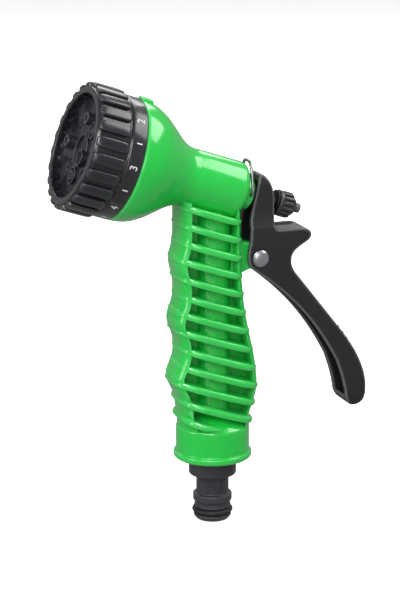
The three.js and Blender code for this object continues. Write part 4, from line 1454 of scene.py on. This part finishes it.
    def number(self, index: int, station: float) -> bpy.types.Object:
        """One pattern's number, bent round the band.

        Args:
            index: The pattern, from 0.
            station: Middle of the band.

        Returns:
            The number, counted from 1.
        """
        text = bpy.data.curves.new("number", "FONT")
        text.body = str(index + 1)
        text.size = self.number_size
        text.extrude = 0.05
        text.align_x, text.align_y = "CENTER", "CENTER"
        holder = linked("number", text)
        graph = bpy.context.evaluated_depsgraph_get()
        mesh = bpy.data.meshes.new_from_object(holder.evaluated_get(graph))
        bpy.data.objects.remove(holder)
        skin, centre = self.radius, index * 2 * math.pi / len(self.ports)
        for vertex in mesh.vertices:
            across, above, lift = vertex.co
            turn, radius = centre - across / skin, skin + 0.03 + lift
            local = Vector((radius * math.cos(turn), radius * math.sin(turn), station - above))
            vertex.co = (BARREL.place @ local) * MM
        tidy(mesh)
        return linked(f"pattern_number_{index + 1}", mesh)

    def labels(self) -> None:
        """Numbers and ticks printed on the band, one number for each pattern."""
        station, skin = (self.band + self.rear) / 2, self.radius
        numbers = [self.number(index, station) for index in range(len(self.ports))]
        for number in numbers:
            dress(number, WHITE_PRINT, "dial", "dial_plastic")
        deep, wide, long = self.tick
        ticks = RING_OF_BLOCKS.grow(
            "pattern_ticks", WHITE_PRINT, BARREL.place, Count=len(self.ports), Radius=skin * MM,
            Start=math.pi / len(self.ports), Station=station * MM, Deep=deep * MM, Wide=wide * MM,
            Long=long * MM, Squareness=0.4)
        dress(ticks, WHITE_PRINT, "dial", "dial_plastic")

    def build(self) -> None:
        """Builds and dresses the dial."""
        self.ring()
        self.face_plate()
        self.jet()
        self.labels()


# ------------------------------------------------------------------ lever


@dataclass
class SqueezeLever:
    """Rear squeeze lever with its thumb shelf, grip dots and rivet; outlines are about the rivet."""

    half_width: float = 7.8
    arm_half_width: float = 6.4
    wall: float = 2.2
    arm_top: float = 3.3
    shelf_height: float = 11.2
    shelf_reach: float = 22.3
    waist_back: float = 13.9
    drop: float = 68.2
    reach: float = 48.5
    voxel: float = 0.42
    dot_pitch: float = 3.1
    dot_spacing: float = 3.9
    dot_radius: float = 0.8
    dot_height: float = 0.8
    rivet_shank: float = 2.4
    rivet_head: float = 3.5
    gland_tail: float = field(init=False)
    washer_front: float = field(init=False)
    crossing: float = field(init=False)
    arm_rear: float = field(init=False)

    def __post_init__(self) -> None:
        """Reads the arm's room from the frame."""
        self.gland_tail = BARREL.span("rear_gland")[1]
        self.washer_front = BARREL.span("knob_washer")[0]
        self.crossing = BARREL.origin.z - RIVET.origin.z
        self.arm_rear = self.from_barrel(self.washer_front, -5)[0] - 0.4

    def from_barrel(self, along: float, above: float) -> Pair:
        """Point of the barrel's frame, in X and Z from the rivet."""
        point = in_barrel(along, 0, above) - RIVET.origin
        return point.x, point.z

    def outline(self) -> list[Pair]:
        """Side outline: arm, thumb shelf, waist and curved grip.

        Returns:
            Points in X and Z from the rivet.
        """
        rear = self.arm_rear
        low = self.from_barrel(self.gland_tail + 1.9, -9)
        high = self.from_barrel(self.gland_tail + 0.4, 6.6)
        top, shelf, waist = self.crossing + self.arm_top, self.shelf_height, self.waist_back
        reach, drop, tip = self.reach, self.drop, self.shelf_reach
        line = Outline(-4.2, 7.1).line(*low).line(*high)
        line.curve((high[0] + 0.5, top + 1.2), (rear - 4, top))
        line.curve((rear, top - 3.4), (rear, top - 11)).line(rear, shelf + 2.2)
        line.curve((rear, shelf + 0.2), (rear + 2.2, shelf + 0.1)).line(tip - 5, shelf + 0.3)
        line.curve((tip + 0.9, shelf + 0.1), (tip + 0.4, shelf - 3.4))
        line.curve((tip - 0.2, shelf - 5), (tip - 2.2, shelf - 6))
        line.curve((waist + 2.2, 2.8), (waist, 1.6), (waist, -2.2))
        line.curve((waist, -5.4), (waist + 3.2, -8.9)).line(reach - 12, 34.7 - drop)
        line.curve((reach - 4.8, 25.4 - drop), (reach, 16.6 - drop), (reach, 8 - drop))
        line.curve((reach - 0.1, 0.3 - drop), (reach - 4.6, -drop))
        line.curve((reach - 8.6, -drop), (reach - 9.4, 6.2 - drop))
        line.curve((reach - 10.2, 12 - drop), (reach - 13.8, 21.3 - drop))
        line.curve((reach - 23, 38.2 - drop), (16.5, -19.6), (2.6, -8.7)).line(-3.5, -4.4)
        return line.curve((-6.7, -2), (-4.2, 7.1)).points[:-1]

    def hollow(self) -> list[Pair]:
        """Side outline of the channel, open towards the grip.

        Returns:
            Points in X and Z from the rivet.
        """
        wall, drop, reach, shelf = self.wall, self.drop, self.reach, self.shelf_height
        rear = self.arm_rear - wall
        top, waist = self.crossing + self.arm_top - wall, self.waist_back - wall
        back = reach - wall
        line = Outline(-12, top).line(rear - 3.6, top)
        line.curve((rear, top - 3.6), (rear, top - 9)).line(rear, shelf - wall)
        line.line(waist + 5, shelf - wall - 0.2)
        line.curve((waist + 2.4, 6.2), (waist, 4.2), (waist, -2.2))
        line.curve((waist, -6.2), (waist + 3.6, -10.2)).line(back - 11.7, 33.2 - drop)
        line.curve((back - 4.6, 24 - drop), (back, 15.8 - drop), (back, 8 - drop))
        line.curve((back - 0.4, wall + 2.6 - drop), (reach - 5, wall + 2.2 - drop))
        return line.line(reach - 14.6, wall + 2.2 - drop).line(-8, -13).line(-12, -9).points

    def front_outline(self, shrink: float = 1.0) -> list[Pair]:
        """Front outline: wide at the grip, narrow at the arm.

        Args:
            shrink: Share of the full width.

        Returns:
            Points in Y and Z about the rivet.
        """
        wide, arm = self.half_width * shrink, self.arm_half_width * shrink
        bottom, top = -self.drop - 1.6, self.crossing + self.arm_top + 2.4
        shoulder, neck = self.shelf_height + 1.8, self.shelf_height + 10.8
        line = Outline(-wide, bottom + 7).curve((-wide, bottom), (0, bottom))
        line.curve((wide, bottom), (wide, bottom + 7))
        line.line(wide, shoulder).curve((arm, shoulder + 4), (arm, neck)).line(arm, top - 7.4)
        line.curve((arm, top), (0, top)).curve((-arm, top), (-arm, top - 7.4)).line(-arm, neck)
        return line.curve((-arm, shoulder + 4), (-wide, shoulder)).points

    def shelf_dish(self) -> bpy.types.Object:
        """Shallow dish in the top of the thumb shelf, inside a raised rim.

        Returns:
            The solid to cut away.
        """
        rear, shelf, tip = self.arm_rear, self.shelf_height, self.shelf_reach
        line = Outline(rear + 1.2, shelf + 4).line(rear + 1.3, shelf + 1.6)
        line.curve((rear + 1.6, shelf - 1), (rear + 4.6, shelf - 1)).line(tip - 4.4, shelf - 1)
        line.curve((tip - 2.2, shelf - 0.9), (tip - 1.2, shelf + 0.6)).line(tip - 1.2, shelf + 4)
        half = self.half_width - 1.3
        return prism("dish", line.points, -half, half, side_view())

    def body(self) -> None:
        """Builds and dresses the channel-section lever, with soft moulded edges."""
        width, inner = self.half_width + 1, self.half_width - self.wall
        lever = prism("lever_body", self.outline(), -width, width, side_view())
        combine(lever, Join.KEEP, prism("front", self.front_outline(), -20, self.reach + 10, front_view()))
        channel = prism("channel", self.hollow(), -inner, inner, side_view())
        narrow = (self.arm_half_width - self.wall) / self.arm_half_width
        arm = prism("arm", self.front_outline(narrow), -20, self.reach + 10, front_view())
        shoulder = self.shelf_height + 1.8
        corners = [(-60, -90), (90, -90), (90, shoulder), (-60, shoulder)]
        below = prism("below", corners, -12, 12, side_view())
        combine(channel, Join.KEEP, combine(arm, Join.ADD, below))
        pin_hole = rod("pin_hole", self.rivet_shank + 0.12, -ACROSS, ACROSS, RIVET, segments=48)
        combine(lever, Join.CUT, channel, self.shelf_dish(), pin_hole)
        for lift in (-0.9, 0, 0.9):
            slot = rod("slot", 2.7, self.gland_tail - 2, self.washer_front + 4, BARREL, (lift, 0), 32)
            combine(lever, Join.CUT, slot)
        remould(lever, self.voxel, 5)
        tidy(lever.data)
        dress(lever, LEVER_BLACK, "trigger", "lever_plastic", "lever")

    def dots(self) -> None:
        """Builds and dresses the rows of round dots up the back of the lever's lower half."""
        reach, drop = self.reach, self.drop
        line = Outline(reach - 12, 34.7 - drop)
        line.curve((reach - 4.8, 25.4 - drop), (reach, 16.6 - drop), (reach, 8 - drop), steps=24)
        points = [RIVET.origin + Vector((x + 0.05, 0, z)) for x, z in line.points]
        dots = dots_on_path(3).grow(
            "lever_grip_dots", LEVER_BLACK, source=path_curve("dot_path", points, smooth=False),
            Pitch=self.dot_pitch * MM, Spacing=self.dot_spacing * MM, Radius=self.dot_radius * MM,
            Height=self.dot_height * MM)
        dress(dots, LEVER_BLACK, "trigger", "lever_plastic")

    def rivet(self) -> None:
        """Builds and dresses the domed rivet, with a narrow rim at each head."""
        low, high = RIVET.span("pivot_rivet")
        half, seat, shank, head = (high - low) / 2, self.half_width + 0.3, self.rivet_shank, self.rivet_head
        spring = seat + 0.62
        outline = [(seat, shank), (seat, head), (seat + 0.35, head), (spring, head - 0.28)]
        for step in range(10):
            turn = math.pi / 2 * step / 10
            outline.append((spring + (half - spring) * math.sin(turn), (head - 0.45) * math.cos(turn)))
        outline.append((half, 0))
        mirrored = [(-station, radius) for station, radius in reversed(outline)]
        rivet = lathe("rivet", [*mirrored, *outline], RIVET, 64)
        dress(rivet, ZINC_STEEL, "trigger", "steel", "pivot_rivet")

    def build(self) -> None:
        """Builds and dresses the lever."""
        self.body()
        self.dots()
        self.rivet()


# ------------------------------------------------------------------ valve, bail and tail


@dataclass
class FlowControl:
    """Moving end of the valve: stem, return spring, thrust washer and fluted knob."""

    stem_radius: float = STEM_RADIUS
    knob_radius: float = 5.4
    flutes: int = 14
    flange: float = 1.7
    spring_wire: float = 0.45
    spring_turns: int = 5
    stem_travel: float = 5

    def build(self) -> None:
        """Builds the stem, the washer, the spring and the knob."""
        self.stem()
        self.washer()
        self.spring()
        self.knob()

    def stem(self) -> None:
        """Builds and dresses the stem, with a socket in each end."""
        front, tip = BARREL.span("valve_stem")
        stem, socket, pocket = self.stem_radius, self.stem_radius - 0.75, self.stem_radius - 0.85
        floor = tip - 2.4
        outline = [(front, socket), (front, stem), (tip, stem), (tip, pocket), (floor, pocket), (floor, 0)]
        closed = [(front + 6, 0), (front + 6, socket), *rounded(outline, 0.3, steps=3)]
        dress(lathe("stem", closed, BARREL, 48), LEVER_BLACK, "stem", "lever_plastic", "valve_stem")

    def washer(self) -> None:
        """Builds and dresses the washer between lever and knob."""
        low, high = BARREL.span("knob_washer")
        reach, bore = BARREL.reach("knob_washer"), self.stem_radius + 0.15
        ring = rounded([(low, bore), (low, reach), (high, reach), (high, bore)], 0.18, closed=True)
        dress(lathe("thrust_washer", ring, BARREL, 64), BLACK_STEEL, "washer", "steel", "knob_washer")

    def spring(self) -> None:
        """Builds and dresses the coil behind the valve plug, with a mesh of its own."""
        low, high = BARREL.span("return_spring")
        radius = BARREL.reach("return_spring") - self.spring_wire
        start, end = low + self.spring_wire, high - self.spring_wire
        steps = self.spring_turns * STEPS_PER_COIL
        points = []
        for step in range(steps + 1):
            turn = 2 * math.pi * step / STEPS_PER_COIL
            station = start + (end - start) * step / steps
            points.append(in_barrel(station, radius * math.cos(turn), radius * math.sin(turn)))
        spring = WIRE_ON_PATH.grow("return_coil", ZINC_STEEL, source=path_curve("coil_path", points),
                                   Radius=self.spring_wire * MM, Step=0.6 * MM)
        dress(spring, ZINC_STEEL, "housing_body", "steel", "return_spring")
        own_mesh(spring)

    def knob(self) -> None:
        """Builds and dresses the fluted knob, with a plain flange and a chamfered end."""
        low, high = BARREL.span("flow_knob")
        radius, bore = self.knob_radius, self.stem_radius + 0.08
        step, core = low + self.flange, self.knob_radius - 0.75
        outline = [(low, bore), (low, radius), (step, radius), (step, core), (high - 2.2, core),
                   (high, radius - 2.2), (high, bore)]
        knob = lathe("fluted_knob", rounded(outline, 0.35, closed=True, steps=3), BARREL, 84)
        length = high - 1.9 - low - self.flange
        flutes = RING_OF_BLOCKS.grow(
            "flutes", KNOB_BLACK, BARREL.place, Count=self.flutes, Radius=(radius - 0.95) * MM, Start=0.0,
            Station=(low + self.flange + length / 2) * MM, Deep=1.0 * MM, Wide=0.72 * MM,
            Long=(length / 2 + 0.25) * MM, Squareness=0.5)
        combine(knob, Join.ADD, flutes)
        dress(knob, KNOB_BLACK, "knob", "knob_plastic", "flow_knob")


@dataclass
class HoldOpenBail:
    """Wire bail over the rear of the barrel, with its feet in the gland nut."""

    wire: float = 0.65
    barrel_radius: float = BARREL_RADIUS
    gland_radius: float = GLAND_RADIUS
    foot_floor: float = BAIL_FOOT_FLOOR
    lean: float = 3.5

    def build(self) -> None:
        """Builds and dresses the bail."""
        foot = BAIL_FEET.origin - BARREL.origin
        along, above = foot.dot(BARREL.along), foot.dot(BARREL.up)
        leg = self.gland_radius + 0.3 + self.wire
        apex = self.barrel_radius + self.wire + 0.55
        half = [
            (0, self.foot_floor + 0.65, above), (0, leg - 0.5, above), (0, leg, above + 0.9),
            (0.35, 0.87 * leg, 0.45 * apex), (0.8, 0.58 * leg, 0.85 * apex), (0.95, 0.36 * leg, 0.97 * apex)]
        near = [in_barrel(along - self.lean * lean, -side, up) for lean, side, up in half]
        far = [in_barrel(along - self.lean * lean, side, up) for lean, side, up in reversed(half)]
        points = [*near, in_barrel(along - self.lean, 0, apex), *far]
        wire = WIRE_ON_PATH.grow("wire_bail", BRIGHT_WIRE, source=path_curve("bail_path", points),
                                 Radius=self.wire * MM, Step=0.7 * MM)
        dress(wire, BRIGHT_WIRE, "bail", "wire_steel", "hold_open_bail")


@dataclass
class HoseTail:
    """Click-on spigot under the grip, with its seal."""

    bore: float = 4.5
    tip: float = 7.9
    neck: float = 6.85
    ridge: float = 8.2
    collar: float = 10
    seal_height: float = 4
    seal_depth: float = 1.6
    seal_wire: float = 1.1
    shank: float = 7.85

    def build(self) -> None:
        """Builds and dresses the spigot and its seal."""
        low, high = TAIL.span("hose_connector")
        bore, ridge, neck, collar, shank = self.bore, self.ridge, self.neck, self.collar, self.shank
        flange = FLANGE_BOTTOM - 0.3
        tip, groove, seal, half = self.tip, self.tip - self.seal_depth, self.seal_height, 1.55
        outline = [
            (low, bore), (low, tip - 1.3), (low + 1.5, tip), (seal - half, tip), (seal - half, groove),
            (seal + half, groove), (seal + half, tip - 0.1), (7, tip - 0.35), (8.1, tip - 0.35), (8.4, ridge),
            (11.2, ridge), (11.7, neck), (19.9, neck), (19.9, collar - 0.4), (20.4, collar), (flange, collar),
            (flange, shank), (high, shank), (high, bore)]
        spigot = lathe("hose_spigot", rounded(outline, 0.3, closed=True, steps=3), TAIL, 96)
        dress(spigot, TAIL_GREY, "housing_body", "tail_plastic", "hose_connector")
        wire = self.seal_wire
        centre = groove + 0.06 + wire
        turns = [step * math.pi / 12 for step in range(24)]
        ring = [(seal + wire * math.sin(turn), centre + wire * math.cos(turn)) for turn in turns]
        dress(lathe("spigot_seal", ring, TAIL, 96), RUBBER, "housing_body", "rubber", "connector_o_ring")


INNER_FINISHES: dict[str, tuple[Finish, tuple[str, ...]]] = {
    "inner_plastic": (
        NATURAL_PLASTIC, ("distributor_plate", "swirl_plug_mist", "swirl_plug_cone", "valve_plug")),
    "dial_plastic": (DIAL_BLACK, ("dial_back_plate",)),
    "rubber": (RUBBER, ("outlet_seal", "plug_seal", "stem_o_ring", "gland_o_ring", "connector_washer")),
    "steel": (ZINC_STEEL, ("detent_ball", "detent_spring", "dial_screw", "dial_washer")),
    "brass": (BRASS, ("valve_seat", "plug_screw", "spring_washer")),
}


def dress_inner_nodes() -> None:
    """Gives the CAD nodes inside the gun their finishes."""
    for slot, (finish, names) in INNER_FINISHES.items():
        for name in names:
            node = frame["nodes"][name]
            node.data.materials.clear()
            node.data.materials.append(finish.material())
            LOG.info("%s: kept from the frame in %s", name, finish.name)


# ------------------------------------------------------------------ studio


@dataclass
class Studio:
    """Pale floor, soft lights and the camera."""

    camera: Triple = (-318.5, -860.7, 336.8)
    target: Triple = (-5.56, 0, 95.38)
    lens: float = 137.8
    sensor: float = 36
    clipping: Pair = (0.01, 50)
    floor_half: float = 9000
    floor_glow: float = 0.52
    world: float = 0.34
    lights: tuple[tuple[str, Triple, Pair, float], ...] = (
        ("overhead", (860, -180, 990), (1000, 560), 9),
        ("key", (-560, -760, 800), (700, 480), 9),
        ("camera_side", (-260, -980, 300), (700, 500), 2.5),
        ("back", (300, 900, 900), (900, 600), 6),
        ("front", (-900, -120, 260), (300, 600), 2),
    )

    def floor(self) -> None:
        """Large pale floor under the gun, which lights nothing but itself."""
        half = self.floor_half
        finish = Finish("pale_floor", srgb(250, 250, 250), srgb(247, 247, 247), 0.75, 0.05, specular=0.1,
                        patch_scale=2, grain_scale=40, grain_height=0.0001)
        shader = finish.material().node_tree.nodes["Principled BSDF"]
        shader.inputs["Emission Color"].default_value = (1, 1, 1, 1)
        shader.inputs["Emission Strength"].default_value = self.floor_glow
        mesh = bpy.data.meshes.new("floor")
        corners = [(-half, -half), (half, -half), (half, half), (-half, half)]
        mesh.from_pydata([(x * MM, y * MM, 0.0) for x, y in corners], [], [[0, 1, 2, 3]])
        mesh.materials.append(finish.material())
        floor = linked("floor", mesh)
        floor.visible_diffuse = floor.visible_glossy = False

    def lighting(self) -> None:
        """Soft boxes and a pale world."""
        world = bpy.data.worlds.new("studio")
        world.use_nodes = True
        sky = world.node_tree.nodes["Background"]
        sky.inputs["Color"].default_value = (1, 1, 1, 1)
        sky.inputs["Strength"].default_value = self.world
        bpy.context.scene.world = world
        for name, place, size, power in self.lights:
            light = bpy.data.lights.new(name, "AREA")
            light.shape = "RECTANGLE"
            light.size, light.size_y = (s * MM for s in size)
            light.energy = power
            holder = linked(name, light)
            holder.location = Vector(place) * MM
            aim = (Vector(self.target) - Vector(place)).to_track_quat("-Z", "Y")
            holder.rotation_mode = "QUATERNION"
            holder.rotation_quaternion = aim

    def build(self) -> None:
        """Sets the floor, the lights, the camera and the view."""
        self.floor()
        self.lighting()
        data = bpy.data.cameras.new("camera")
        data.lens, data.sensor_width = self.lens, self.sensor
        data.clip_start, data.clip_end = self.clipping
        camera = linked("camera", data)
        camera.location = Vector(self.camera) * MM
        camera.rotation_mode = "QUATERNION"
        camera.rotation_quaternion = (Vector(self.target) - Vector(self.camera)).to_track_quat("-Z", "Y")
        bpy.context.scene.camera = camera
        bpy.context.scene.view_settings.view_transform = "Standard"


def main() -> None:
    """Builds the gun, sub-assembly by sub-assembly, and the studio."""
    logging.basicConfig(level=logging.INFO, format="%(name)s %(message)s")
    for assembly in (GripHousing(), PatternDial(), SqueezeLever(), FlowControl(), HoldOpenBail(), HoseTail()):
        LOG.info("building %s", type(assembly).__name__)
        assembly.build()
    dress_inner_nodes()
    Studio().build()


if __name__ == "__main__":
    main()
